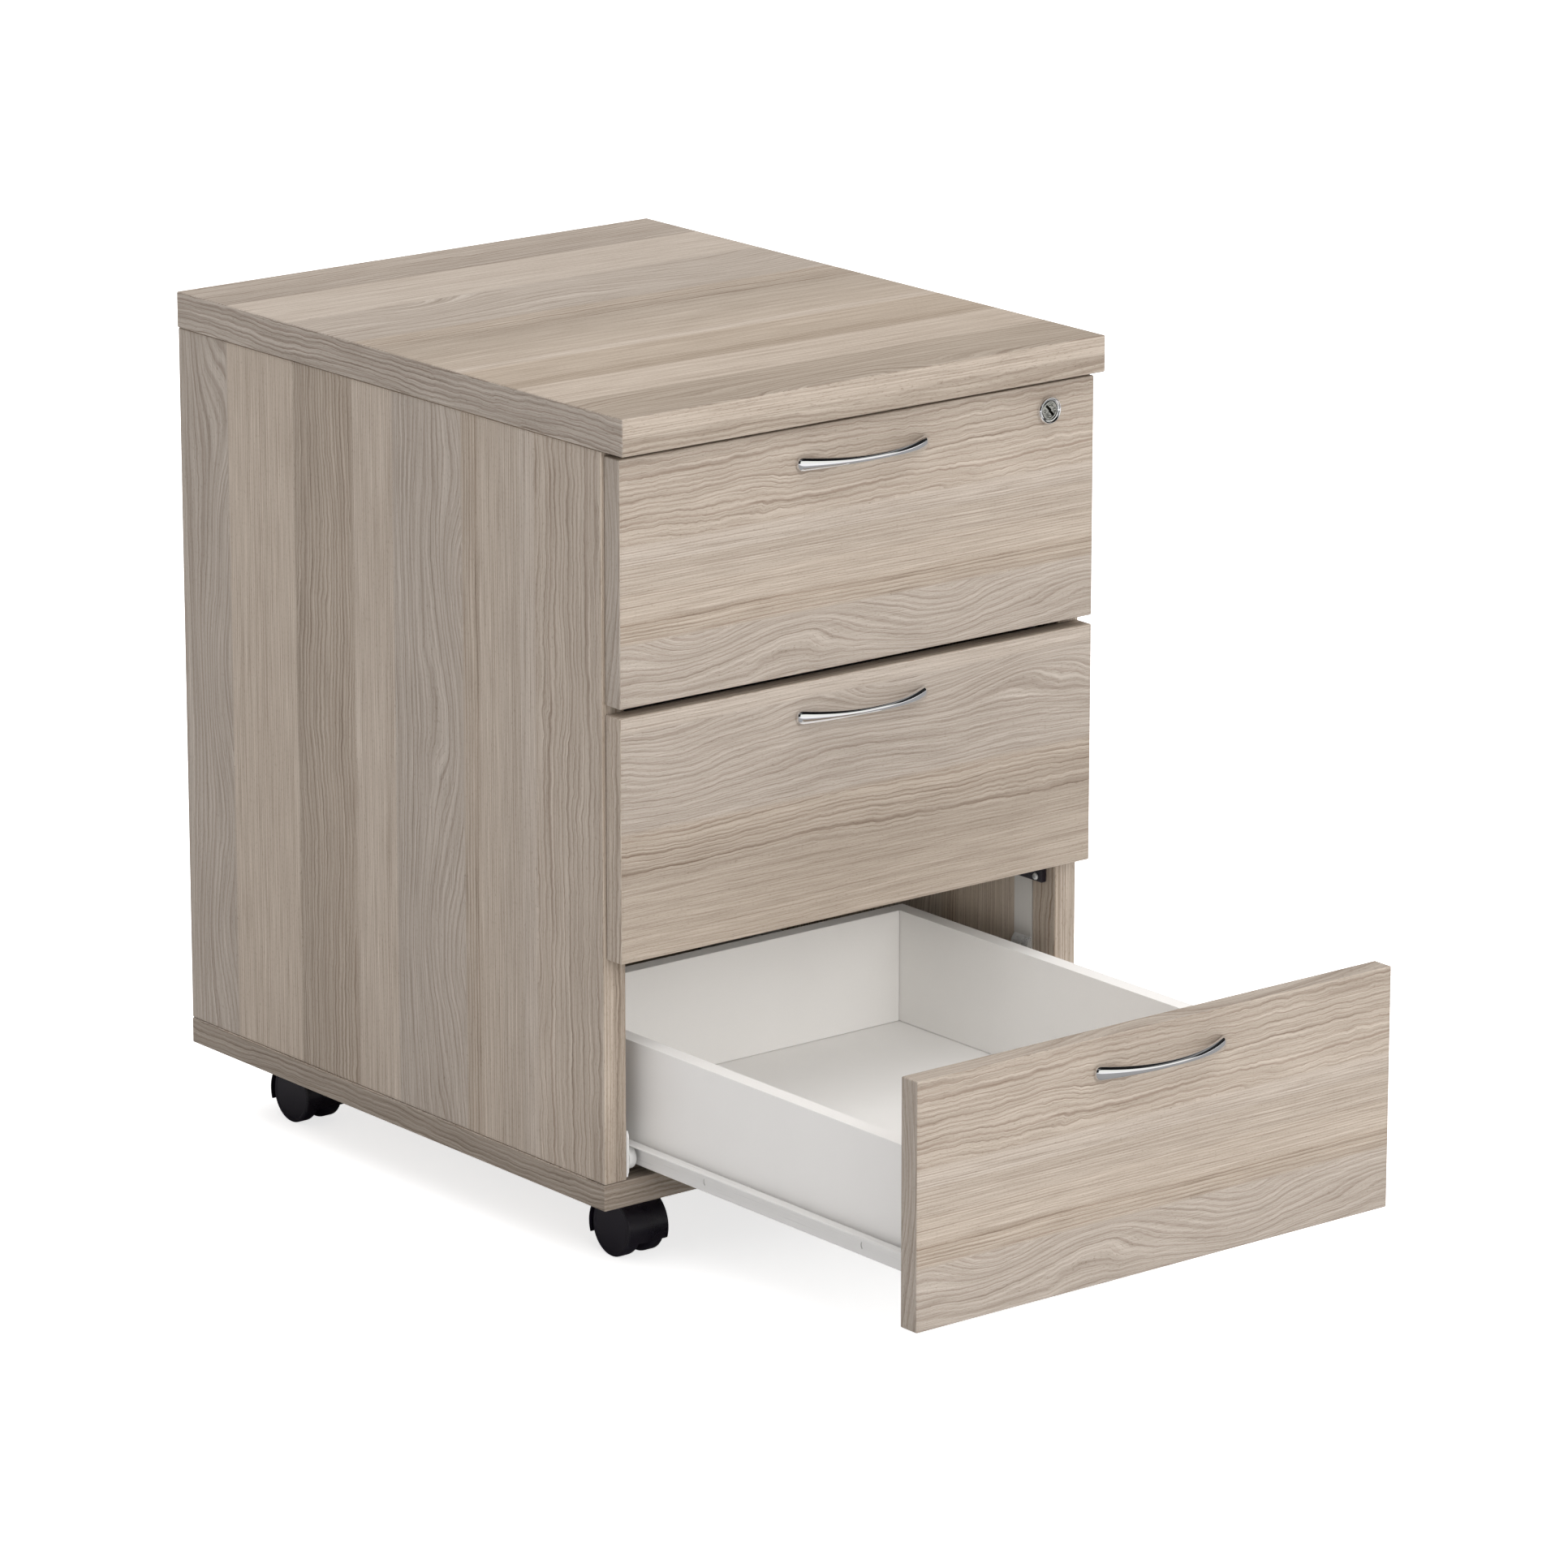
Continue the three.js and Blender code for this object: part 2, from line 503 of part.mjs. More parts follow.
FRONT_TOPS.forEach((frontTop, row) => {
  const number = row + 1;
  const rollersAreSeparate = number === 3;
  const drawer = new THREE.Group();
  drawer.position.y = -DRAWER_OPENINGS[row];
  pedestal.add(drawer);

  const boxTop = frontTop - BOX_TOP_DROP;
  const floorTop = frontTop - BOX_FLOOR_DROP;
  const wallZ = [floorTop + JOINT_GAP, boxTop];
  const boxFrontY = FRONT_BACK_Y + JOINT_GAP;
  const innerX = BOX_HALF_WIDTH - BOX_WALL;

  const board = frontPanel(frontTop);
  const holeYs = [FRONT_FACE_Y - OVERCUT, FRONT_BACK_Y + OVERCUT];
  const lockHole = rod('y', LOCK_BARREL_RADIUS + JOINT_GAP, ...holeYs, LOCK_CENTRE, WHEEL_SIDES);
  addPiece(drawer, `drawer_${number}_front`,
    number === 1 ? solid(board).subtract(solid(lockHole)) : board, oakFront);

  for (const [name, side] of SIDES) {
    addPiece(drawer, `drawer_${number}_${name}_side`,
      boxBetween(mirroredX([innerX, BOX_HALF_WIDTH], side), [boxFrontY, BOX_BACK_Y], wallZ), whiteBoard);
    addPiece(drawer, `drawer_${number}_${name}_runner`,
      drawerRunner(frontTop, side, rollersAreSeparate), whiteSteel);
    addPiece(carcass, `cabinet_runner_${number}_${name}`,
      cabinetRunner(frontTop, side, rollersAreSeparate), whiteSteel);
  }

  const backHalf = innerX - JOINT_GAP;
  addPiece(drawer, `drawer_${number}_back`,
    boxBetween([-backHalf, backHalf], [BOX_BACK_Y - BOX_WALL, BOX_BACK_Y], wallZ), whiteBoard);
  addPiece(drawer, `drawer_${number}_bottom`,
    boxBetween([-BOX_HALF_WIDTH, BOX_HALF_WIDTH], [boxFrontY, BOX_BACK_Y], [floorTop - BOX_FLOOR, floorTop]),
    whiteBoard);
  addPiece(drawer, `drawer_${number}_handle`, bowHandle(frontTop - HANDLE_DROPS[row]), chrome);

  if (number === 1) {
    addPiece(drawer, 'lock_housing', lockHousing(), chrome);
    addPiece(drawer, 'lock_cylinder', lockCylinder(), chrome);
  }
  if (rollersAreSeparate) {
    for (const [name, side] of SIDES) {
      addPiece(carcass, `front_roller_${number}_${name}`,
        rollerShape(FRONT_ROLLER_X, FRONT_ROLLER_Y, frontTop - FRONT_AXLE_DROP, side), whiteNylon);
      addPiece(drawer, `rear_roller_${number}_${name}`,
        rollerShape(REAR_ROLLER_X, REAR_ROLLER_Y, frontTop - REAR_AXLE_DROP, side), whiteNylon);
    }
  }
});

// ---- Castors ------------------------------------------------------------------------------

// Castor coordinates: the swivel axis is the Z axis and the axle lies CASTOR_TRAIL in front.
const AXLE = [-CASTOR_TRAIL, WHEEL_RADIUS];
const PLATE_BOTTOM = CASTOR_HEIGHT - JOINT_GAP - PLATE_THICKNESS;

function castorPlate() {
  const half = CASTOR_PLATE / 2;
  const corner = PLATE_CORNER;
  const outline = new THREE.Shape();
  outline.absarc(half - corner, half - corner, corner, 0, Math.PI / 2);
  outline.absarc(corner - half, half - corner, corner, Math.PI / 2, Math.PI);
  outline.absarc(corner - half, corner - half, corner, Math.PI, 1.5 * Math.PI);
  outline.absarc(half - corner, corner - half, corner, 1.5 * Math.PI, 2 * Math.PI);
  const options = { depth: PLATE_THICKNESS, bevelEnabled: false, curveSegments: 3 };
  const plate = new THREE.ExtrudeGeometry(outline, options).translate(0, 0, PLATE_BOTTOM);
  const pinZs = [PLATE_BOTTOM - SWIVEL_PIN_LENGTH, PLATE_BOTTOM + OVERCUT];
  return joined(plate, rod('z', SWIVEL_PIN_RADIUS, ...pinZs, [0, 0]));
}

// Arch over both wheels, open below, with a spine between the wheels that carries the axle
// and a boss that turns on the swivel pin.
function castorHood() {
  const inner = HOOD_RADIUS - HOOD_WALL;
  const skirtZ = WHEEL_RADIUS - HOOD_SKIRT_DROP;
  const reach = 3 * HOOD_RADIUS;
  const below = boxBetween([-reach, reach], [-reach, reach], [-reach, skirtZ]);
  const outerDrum = rod('x', HOOD_RADIUS, -HOOD_HALF_WIDTH, HOOD_HALF_WIDTH, AXLE, WHEEL_SIDES);
  const boss = rod('z', BOSS_RADIUS, WHEEL_RADIUS, PLATE_BOTTOM - BOSS_GAP, [0, 0]);
  const cavity = rod('x', inner, -reach, reach, AXLE, WHEEL_SIDES);
  const spine = rod('x', inner + HOOD_WALL / 2, -SPINE_HALF, SPINE_HALF, AXLE, WHEEL_SIDES);
  const axleEnd = WHEEL_OUTER_X - AXLE_INSET;
  const axle = rod('x', AXLE_RADIUS, -axleEnd, axleEnd, AXLE);
  const boreRadius = SWIVEL_PIN_RADIUS + SWIVEL_PLAY;
  const swivelBore = rod('z', boreRadius, 1.5 * WHEEL_RADIUS, CASTOR_HEIGHT, [0, 0]);
  return joined(outerDrum, boss)
    .subtract(solid(cavity))
    .subtract(solid(swivelBore))
    .add(solid(spine).subtract(solid(swivelBore)))
    .subtract(solid(below))
    .add(solid(axle));
}

// One wheel, closed on its outer face, with a blind bore for the axle.
function castorWheel(side) {
  const bore = AXLE_RADIUS + AXLE_PLAY;
  const outer = WHEEL_OUTER_BEND;
  const inner = WHEEL_INNER_BEND;
  const profile = [
    [0, WHEEL_OUTER_X],
    ...cornerArc(WHEEL_RADIUS - outer, WHEEL_OUTER_X - outer, outer, 90, 0, 1),
    ...cornerArc(WHEEL_RADIUS - inner, WHEEL_INNER_X + inner, inner, 0, -90, 2),
    [bore, WHEEL_INNER_X],
    [bore, WHEEL_OUTER_X - WHEEL_DISC],
    [0, WHEEL_OUTER_X - WHEEL_DISC],
  ];
  // Drawn for the right-hand wheel; the left-hand one runs the other way along the axle.
  const points = profile.map(([radius, station]) => [radius, side * station]);
  return turned('x', side > 0 ? points.reverse() : points, WHEEL_SIDES, AXLE);
}

for (const [name, side] of SIDES) {
  for (const [row, swivelY] of [['front', CASTOR_SWIVEL_Y[0]], ['rear', CASTOR_SWIVEL_Y[1]]]) {
    const castor = new THREE.Group();
    castor.position.set(side * CASTOR_X, swivelY, 0);
    pedestal.add(castor);
    const label = `castor_${row}_${name}`;
    addPiece(castor, `${label}_plate`, castorPlate(), zincPlate);
    addPiece(castor, `${label}_hood`, castorHood(), blackNylon);
    addPiece(castor, `${label}_outer_wheel`, castorWheel(side), blackNylon);
    addPiece(castor, `${label}_inner_wheel`, castorWheel(-side), blackNylon);
  }
}

// ---- Origin -------------------------------------------------------------------------------

// The bounding box runs from the handle of the open drawer to the back edge of the carcass.
const bounds = new THREE.Box3().setFromObject(pedestal);
pedestal.position.y = -(bounds.min.y + bounds.max.y) / 2;

export default pedestal;
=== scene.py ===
"""Looks for the rolling pedestal cabinet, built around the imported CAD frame.

Everything is drawn in millimetres in the row frame (+Z up, the drawers open towards -Y) and turned
into metres when a piece is made. Sizes that the frame knows are read from its nodes.
"""
import math

import bmesh
import bpy
from mathutils import Matrix, Vector

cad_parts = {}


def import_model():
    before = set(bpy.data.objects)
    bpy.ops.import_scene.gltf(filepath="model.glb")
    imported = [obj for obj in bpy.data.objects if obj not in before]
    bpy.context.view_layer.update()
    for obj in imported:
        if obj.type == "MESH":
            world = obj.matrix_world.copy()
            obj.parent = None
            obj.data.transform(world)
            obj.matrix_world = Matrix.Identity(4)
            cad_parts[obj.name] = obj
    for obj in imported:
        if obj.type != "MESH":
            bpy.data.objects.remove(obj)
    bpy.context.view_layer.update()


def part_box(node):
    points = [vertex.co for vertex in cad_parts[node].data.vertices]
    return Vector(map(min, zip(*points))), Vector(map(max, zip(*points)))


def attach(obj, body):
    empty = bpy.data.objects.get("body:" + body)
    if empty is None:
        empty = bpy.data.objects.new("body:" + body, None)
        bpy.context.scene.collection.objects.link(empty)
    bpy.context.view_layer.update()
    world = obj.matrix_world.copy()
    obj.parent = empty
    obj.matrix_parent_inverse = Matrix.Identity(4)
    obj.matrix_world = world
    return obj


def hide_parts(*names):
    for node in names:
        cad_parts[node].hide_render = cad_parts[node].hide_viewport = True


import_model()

MM = 0.001
SIDES = (("left", -1), ("right", 1))
AXES = {"x": 0, "y": 1, "z": 2}

# ---- Measures that the frame's boxes don't give, in millimetres ----

DRAWERS = (1, 2, 3)
EDGE_ROUND = 1.0            # rounding of the boards' edge banding
BAND = 1.8                  # thickness of the edge banding
SCORE = 0.16                # width of the joint between banding and board
BOX_ROUND = 0.5             # rounding of the drawer box boards
PANEL_X = 183.2             # inner faces of the side panels

SHEET = 1.0                 # steel of the runners
SHEET_BEND = 1.3
RUNNER_HEIGHT = 17
FOOT_X = 158.6              # drawer runner: inner edge of its foot
DRAWER_WEB_X = 170.85       # middle of its web
LEDGE_X = 179.2             # outer edge of its ledge
CHANNEL_X = 173.2           # cabinet runner: inner edge of its flanges
CABINET_WEB_X = 181.4       # middle of its web
UPPER_FLANGE_DROP = 9.7     # of its upper flange, below its top
CRESCENT_BACK = (72.6, 234.6)       # of the crescent slots, from the front end of the drawer runner
CRESCENT_RISE = 7.9                 # above its lower edge
CRESCENT_RADIUS, CRESCENT_HALF_ANGLE, CRESCENT_GIRTH = 3.1, 58, 0.75
CHANNEL_START = 20.5        # of the channel's flanges, behind the front end of the cabinet runner
NOSE_CORNER = 5
PAD_LENGTHS = (17, 20, 24)  # pads at the front, middle and back that hold the runner off the panel
RUNNER_SCREW_BACK = (37, 225)       # from the front end of the cabinet runner
LAST_SCREW_INSET = 12               # from its back end
ROLLER_WIDTH = 5.8
ROLLER_PLAY = 0.2
FRONT_ROLLER_X = 174.8
REAR_ROLLER_X = 171.6
ROLLER_Y = -62.3            # axle of the front rollers
REAR_ROLLER_INSET = 10.7    # axle of a rear roller from the back end of its drawer runner
FRONT_ROLLER_DROP, REAR_ROLLER_DROP = 136.4, 138.6     # below the top of the drawer front

END_HEIGHT, MIDDLE_HEIGHT = 9.4, 4.8        # the handle's section at its ends and its middle
END_DEPTH, MIDDLE_DEPTH = 5.6, 5.0
END_ROUND = 0.42            # length of the ends' rounding, as a share of their height
TAPER_POWER, BOW_POWER = 2.4, 2.2   # how full the ends and the bow are
HANDLE_BOW = 13.6
HANDLE_SEAT_GAP = 0.1       # the ends' widest line from the board, so that they stand on it as half rounds
HANDLE_STATIONS, HANDLE_SIDES = 96, 36
HANDLE_SCREW_X = 48

OVERCUT = 5                 # how far a cutting shape runs past the face it cuts
LOCK_BARREL = 8.4           # radius of the hole for the lock
PIN_OFFSET = 4.2            # of the lock's pin from the lock's axis
PIN_RADIUS = 2
PIN_BRACKET = 6.5           # half height of the bracket on the bar
PIN_SLOT = 2.4              # half height of the slot in it
BAR_THICKNESS = 2.9
BAR_CLEARANCE = 0.4
KEY_SLOT_HALF, KEY_SLOT_WIDTH = 5.0, 1.9    # two halves of it lie a little apart, as in a wafer lock
KEY_SLOT_SHIFT = 0.3
DIMPLE_CIRCLE = 4.3
GUIDE_SCREW = (6, 3.6)      # Y and Z of the screw from the guide's lowest corner
BRACKET_Y = (-40.9, -39.3)
CATCH_X = 179.4             # tips of the catches
CATCH_HEIGHT = 9.4

WHEEL_RADIUS = 20
WHEEL_OUTER, WHEEL_INNER = 15, 2.7  # faces of a wheel, from the middle of the castor
AXLE_RADIUS, AXLE_HALF = 3, 11.6
AXLE = (-12, WHEEL_RADIUS)  # Y and Z of the axle from the swivel axis
HOOD_RADIUS = 22.7
HOOD_WALL = 1.5
HOOD_HALF_WIDTH, HOOD_BEND = 16.4, 1.0
SPINE_HALF, SPINE_SINK = 2, 0.7     # the spine's half thickness, and how far it runs into the wall
SKIRT_DROP = 7.5            # of the hood's lower edge, below the axle
BOSS_RADIUS, BOSS_BORE = 9, 4.3
BOSS_TOP = 46
PLATE_BOTTOM, PLATE_TOP = 46.8, 49.3
PLATE_HALF, PLATE_CORNER = 21, 5
PLATE_SCREW = 15            # of the screws from the swivel axis, along X and Y
SWIVEL_PIN, SWIVEL_PIN_BOTTOM = 4, 39.4


def box_mm(node):
    """Lowest and highest corner of a CAD node at rest, in millimetres."""
    low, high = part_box(node)
    return low / MM, high / MM


# ---- Mesh helpers ----


def mesh_of(name, bm):
    """A mesh made from a bmesh, which is used up."""
    mesh = bpy.data.meshes.new(name)
    bm.to_mesh(mesh)
    bm.free()
    return mesh


def linked(name, data):
    """A new object in the scene."""
    obj = bpy.data.objects.new(name, data)
    bpy.context.scene.collection.objects.link(obj)
    return obj


def rounded_box(low, high, radius, segments=3):
    bm = bmesh.new()
    bmesh.ops.create_cube(bm, size=1)
    bmesh.ops.scale(bm, vec=high - low, verts=bm.verts)
    bmesh.ops.translate(bm, vec=(low + high) / 2, verts=bm.verts)
    if radius > 0:
        bmesh.ops.bevel(
            bm, geom=bm.edges[:], offset=radius, segments=segments, profile=0.5, affect="EDGES"
        )
    return bm


def ring_point(axis, centre, radius, station, angle):
    """A point on a circle round an axis. centre holds the two coordinates across it."""
    point = [centre[0] + radius * math.cos(angle), centre[1] + radius * math.sin(angle)]
    point.insert(AXES[axis], station)
    return Vector(point)


def turned(profile, axis, centre, steps=64):
    """Turns a profile of (radius, station) points that runs from axis to axis, or closes on itself."""
    bm = bmesh.new()
    closed = profile[0][0] > 0
    rings = []
    for radius, station in profile:
        if radius <= 0:
            rings.append([bm.verts.new(ring_point(axis, centre, 0, station, 0))])
            continue
        angles = (2 * math.pi * i / steps for i in range(steps))
        rings.append([bm.verts.new(ring_point(axis, centre, radius, station, a)) for a in angles])
    pairs = list(zip(rings, rings[1:]))
    if closed:
        pairs.append((rings[-1], rings[0]))
    for first, second in pairs:
        for i in range(steps):
            k = (i + 1) % steps
            if len(first) == 1:
                bm.faces.new((first[0], second[i], second[k]))
            elif len(second) == 1:
                bm.faces.new((first[i], first[k], second[0]))
            else:
                bm.faces.new((first[i], first[k], second[k], second[i]))
    bmesh.ops.recalc_face_normals(bm, faces=bm.faces)
    return bm


def rod(radius, start, end):
    """The profile of a plain rod, for turned."""
    return [(0, start), (radius, start), (radius, end), (0, end)]


def skinned(rings):
    """A closed skin over rings of points, with a flat cap at each end."""
    bm = bmesh.new()
    rows = [[bm.verts.new(p) for p in ring] for ring in rings]
    count = len(rings[0])
    for first, second in zip(rows, rows[1:]):
        for i in range(count):
            k = (i + 1) % count
            bm.faces.new((first[i], first[k], second[k], second[i]))
    bm.faces.new(rows[0])
    bm.faces.new(list(reversed(rows[-1])))
    bmesh.ops.recalc_face_normals(bm, faces=bm.faces)
    return bm


def extruded(outline, axis, start, end, edge=0.0, segments=2):
    """A plate with the outline, between two stations along an axis, with rounded rims."""
    a = AXES[axis]
    rings = []
    for station in (start, end):
        ring = [list(p) for p in outline]
        for point in ring:
            point.insert(a, station)
        rings.append(ring)
    bm = skinned(rings)
    if edge > 0:
        rims = [e for e in bm.edges if abs(e.verts[0].co[a] - e.verts[1].co[a]) < 1e-6]
        bmesh.ops.bevel(
            bm, geom=rims, offset=edge, segments=segments, profile=0.5, affect="EDGES"
        )
    return bm


def arc(centre, radius, start, end, steps):
    """Points of an arc, angles in degrees."""
    angles = (math.radians(start + (end - start) * i / steps) for i in range(steps + 1))
    return [(centre[0] + radius * math.cos(a), centre[1] + radius * math.sin(a)) for a in angles]


def rounded_path(points, bend, steps=5):
    """An open path whose corners are arcs."""
    made = [Vector(points[0])]
    for before, corner, after in zip(points, points[1:], points[2:]):
        corner = Vector(corner)
        back = (Vector(before) - corner).normalized()
        ahead = (Vector(after) - corner).normalized()
        half = back.angle(ahead) / 2
        reach = bend / math.tan(half)
        centre = corner + (back + ahead).normalized() * (bend / math.sin(half))
        first, last = corner + back * reach - centre, corner + ahead * reach - centre
        made += [centre + first.slerp(last, i / steps) for i in range(steps + 1)]
    made.append(Vector(points[-1]))
    return made


def sheet_outline(points, thickness, bend):
    """Outline of bent sheet metal that follows a path, with rounded free edges."""
    path = rounded_path(points, bend)
    near, far = [], []
    for i, point in enumerate(path):
        along = (path[min(i + 1, len(path) - 1)] - path[max(i - 1, 0)]).normalized()
        across = Vector((-along.y, along.x)) * thickness / 2
        near.append(point + across)
        far.append(point - across)
    start = (path[0] - path[1]).normalized() * thickness * 0.3
    end = (path[-1] - path[-2]).normalized() * thickness * 0.3
    tip = [path[-1] + end]
    return [tuple(p) for p in near + tip + far[::-1] + [path[0] + start]]


def combined(first, second, operation="UNION"):
    """Joins or cuts two closed meshes and returns the new one."""
    helpers = [linked("helper", mesh_of("helper", bm)) for bm in (first, second)]
    modifier = helpers[0].modifiers.new("combine", "BOOLEAN")
    modifier.operation = operation
    modifier.solver = "EXACT"
    modifier.object = helpers[1]
    graph = bpy.context.evaluated_depsgraph_get()
    result = helpers[0].evaluated_get(graph)
    made = bmesh.new()
    made.from_mesh(result.to_mesh())
    result.to_mesh_clear()
    for helper in helpers:
        mesh = helper.data
        bpy.data.objects.remove(helper)
        bpy.data.meshes.remove(mesh)
    bmesh.ops.dissolve_degenerate(made, dist=1e-5, edges=made.edges)
    return made


def gathered(meshes):
    """Several closed meshes in one, for a piece made of separate solids."""
    whole = bmesh.new()
    for bm in meshes:
        mesh = mesh_of("helper", bm)
        whole.from_mesh(mesh)
        bpy.data.meshes.remove(mesh)
    return whole


def moved(bm, matrix):
    """A copy of a mesh, moved by a matrix."""
    copy = bm.copy()
    bmesh.ops.transform(copy, matrix=matrix, verts=copy.verts)
    if matrix.determinant() < 0:
        bmesh.ops.reverse_faces(copy, faces=copy.faces)
    return copy


def piece(name, bm, material, body, replaces=(), sharp=35, flat=True):
    """Makes a mesh into a finished piece that rides on a CAD body."""
    mesh = mesh_of(name, bm)
    mesh.transform(Matrix.Scale(MM, 4))
    mesh.materials.append(material)
    mesh.shade_smooth()
    mesh.set_sharp_from_angle(angle=math.radians(sharp))
    obj = linked(name, mesh)
    if flat:
        weighted = obj.modifiers.new("flat faces", "WEIGHTED_NORMAL")
        weighted.keep_sharp = True
    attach(obj, body)
    if replaces:
        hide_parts(*replaces)
    return obj


# ---- Material helpers ----


class Graph:
    """A short way to write nodes."""

    @classmethod
    def on(cls, tree):
        """A graph on an emptied node tree, with no shader of its own."""
        graph = cls.__new__(cls)
        graph.tree = tree
        tree.nodes.clear()
        return graph

    def __init__(self, name):
        self.material = bpy.data.materials.new(name)
        self.material.use_nodes = True
        self.tree = self.material.node_tree
        self.tree.nodes.clear()
        self.shader = self.node("BsdfPrincipled")
        self.plug(self.node("OutputMaterial").inputs["Surface"], self.shader.outputs["BSDF"])

    def node(self, kind):
        return self.tree.nodes.new("ShaderNode" + kind)

    def plug(self, socket, value):
        if isinstance(value, bpy.types.NodeSocket):
            self.tree.links.new(value, socket)
        else:
            socket.default_value = value

    def set(self, **inputs):
        for name, value in inputs.items():
            self.plug(self.shader.inputs[name.replace("_", " ")], value)

    def math(self, operation, *values, clamp=False):
        node = self.node("Math")
        node.operation = operation
        node.use_clamp = clamp
        for socket, value in zip(node.inputs, values):
            self.plug(socket, value)
        return node.outputs[0]

    def xyz(self, x=0.0, y=0.0, z=0.0):
        node = self.node("CombineXYZ")
        for socket, value in zip(node.inputs, (x, y, z)):
            self.plug(socket, value)
        return node.outputs[0]

    def split(self, vector):
        node = self.node("SeparateXYZ")
        self.plug(node.inputs[0], vector)
        return node.outputs

    def place(self):
        """Millimetres in the row frame, fixed to the piece."""
        node = self.node("TexCoord")
        scale = self.node("VectorMath")
        scale.operation = "SCALE"
        self.plug(scale.inputs[0], node.outputs["Object"])
        scale.inputs["Scale"].default_value = 1 / MM
        return scale.outputs[0]

    def attribute(self, name):
        node = self.node("Attribute")
        node.attribute_name = name
        return node.outputs["Vector"]

    def noise(self, vector, scale=1.0, detail=2.0, roughness=0.5):
        node = self.node("TexNoise")
        self.plug(node.inputs["Vector"], vector)
        node.inputs["Scale"].default_value = scale
        node.inputs["Detail"].default_value = detail
        node.inputs["Roughness"].default_value = roughness
        return node.outputs["Fac"]

    def spread(self, value, low, high, to_low=0.0, to_high=1.0, smooth=False):
        node = self.node("MapRange")
        node.interpolation_type = "SMOOTHSTEP" if smooth else "LINEAR"
        for name, number in zip(
            ("From Min", "From Max", "To Min", "To Max"), (low, high, to_low, to_high)
        ):
            node.inputs[name].default_value = number
        self.plug(node.inputs["Value"], value)
        return node.outputs["Result"]

    def mix(self, factor, first, second, blend="MIX"):
        node = self.node("Mix")
        node.data_type = "RGBA"
        node.blend_type = blend
        self.plug(node.inputs[0], factor)
        self.plug(node.inputs[6], first)
        self.plug(node.inputs[7], second)
        return node.outputs[2]

    def scaled(self, vector, factors):
        return self.xyz(*[self.math("MULTIPLY", c, f) for c, f in zip(self.split(vector), factors)])

    def around_one(self, noise, amount):
        """A share that swings around 1 as a noise swings around a half."""
        return self.math("MULTIPLY_ADD", self.math("SUBTRACT", noise, 0.5), amount, 1.0)

    def shaded(self, colour, share):
        return self.mix(1.0, colour, self.xyz(share, share, share), "MULTIPLY")

    def ramp(self, value, stops):
        node = self.node("ValToRGB")
        elements = node.color_ramp.elements
        elements[0].position, elements[0].color = stops[0]
        elements[1].position, elements[1].color = stops[-1]
        for position, color in stops[1:-1]:
            elements.new(position).color = color
        self.plug(node.inputs[0], value)
        return node.outputs

    def bump(self, height, distance, strength=1.0):
        """Bump whose height runs from 0 to 1 over a distance in millimetres."""
        node = self.node("Bump")
        node.inputs["Strength"].default_value = strength
        node.inputs["Distance"].default_value = distance * MM
        self.plug(node.inputs["Height"], height)
        self.plug(self.shader.inputs["Normal"], node.outputs["Normal"])


# ---- Wood decor ----

# The boards are cut from a printed oak decor of planks that lie side by side. Each strip is
# (width, tone at its start, tone at its end, warmth, figure). Tones are a share of the decor's
# mean brightness; warmth above 0 is browner and below 0 greyer. A figure is (arcs at the start,
# arcs at the end, kinks, spacing of the rings, darkness of their lines): lengths in millimetres
# and darkness as a share.
WAVY = (5, 8, 3.4, 5.2, 0.85)
FINE = (1, 1, 0.4, 2.2, 0.50)
STREAKED = (2, 2, 0.9, 3.1, 1.00)
ARCS_FIRST = (34, 4, 1.7, 4.8, 0.62)
ARCS_LAST = (4, 34, 1.7, 4.8, 0.62)
DARK_WAVES = (7, 7, 2.6, 3.8, 0.95)
SMOOTH = (2, 3, 0.8, 3.0, 0.32)

DECOR_A = [
    (71, 0.98, 1.06, 0.1, WAVY),
    (16, 1.12, 1.06, -0.3, FINE),
    (22, 0.99, 1.00, 0.1, FINE),
    (23, 1.03, 1.04, 0.2, FINE),
    (18, 0.99, 0.94, 0.5, STREAKED),
    (78, 1.00, 0.93, -0.4, ARCS_FIRST),
    (46, 1.07, 1.05, 0.1, FINE),
    (67, 0.91, 0.83, 0.5, DARK_WAVES),
    (77, 1.04, 1.04, 0.3, FINE),
    (58, 0.93, 0.92, -0.4, ARCS_FIRST),
    (44, 1.06, 1.09, 0.1, SMOOTH),
    # the last plank serves the base panel: it is darker decor and also holds painted shade, for the shade
    # that the drawers above cast on the base
    (60, 0.80, 0.64, 0.3, DARK_WAVES),
]
DECOR_B = [
    (59, 0.98, 0.90, -0.4, DARK_WAVES),
    (71, 1.11, 1.08, -0.4, SMOOTH),
    (77, 0.99, 0.97, -0.5, ARCS_FIRST),
    (38, 0.97, 0.86, 0.3, DARK_WAVES),
    (70, 0.88, 0.99, 0.3, SMOOTH),
    (12, 1.09, 1.12, -0.1, SMOOTH),
    (43, 1.00, 0.96, 0.6, FINE),
    (17, 0.91, 0.88, 0.8, STREAKED),
    (51, 1.12, 1.08, 0.1, FINE),
    (62, 0.89, 0.84, 0.4, ARCS_LAST),
]
OAK = (0.432, 0.366, 0.302)
LINE_TINT = (0.45, 0.36, 0.31, 1.0)         # of the growth rings, against the wood between them
MOST_ARCS = 40.0
MOST_KINKS = 4.0
WIDEST_RING = 10.0


def toned(share, warmth):
    """The decor's colour at a tone and warmth."""
    tilt = 0.035 * warmth
    return (OAK[0] * share * (1 + tilt), OAK[1] * share, OAK[2] * share * (1 - 1.6 * tilt), 1.0)


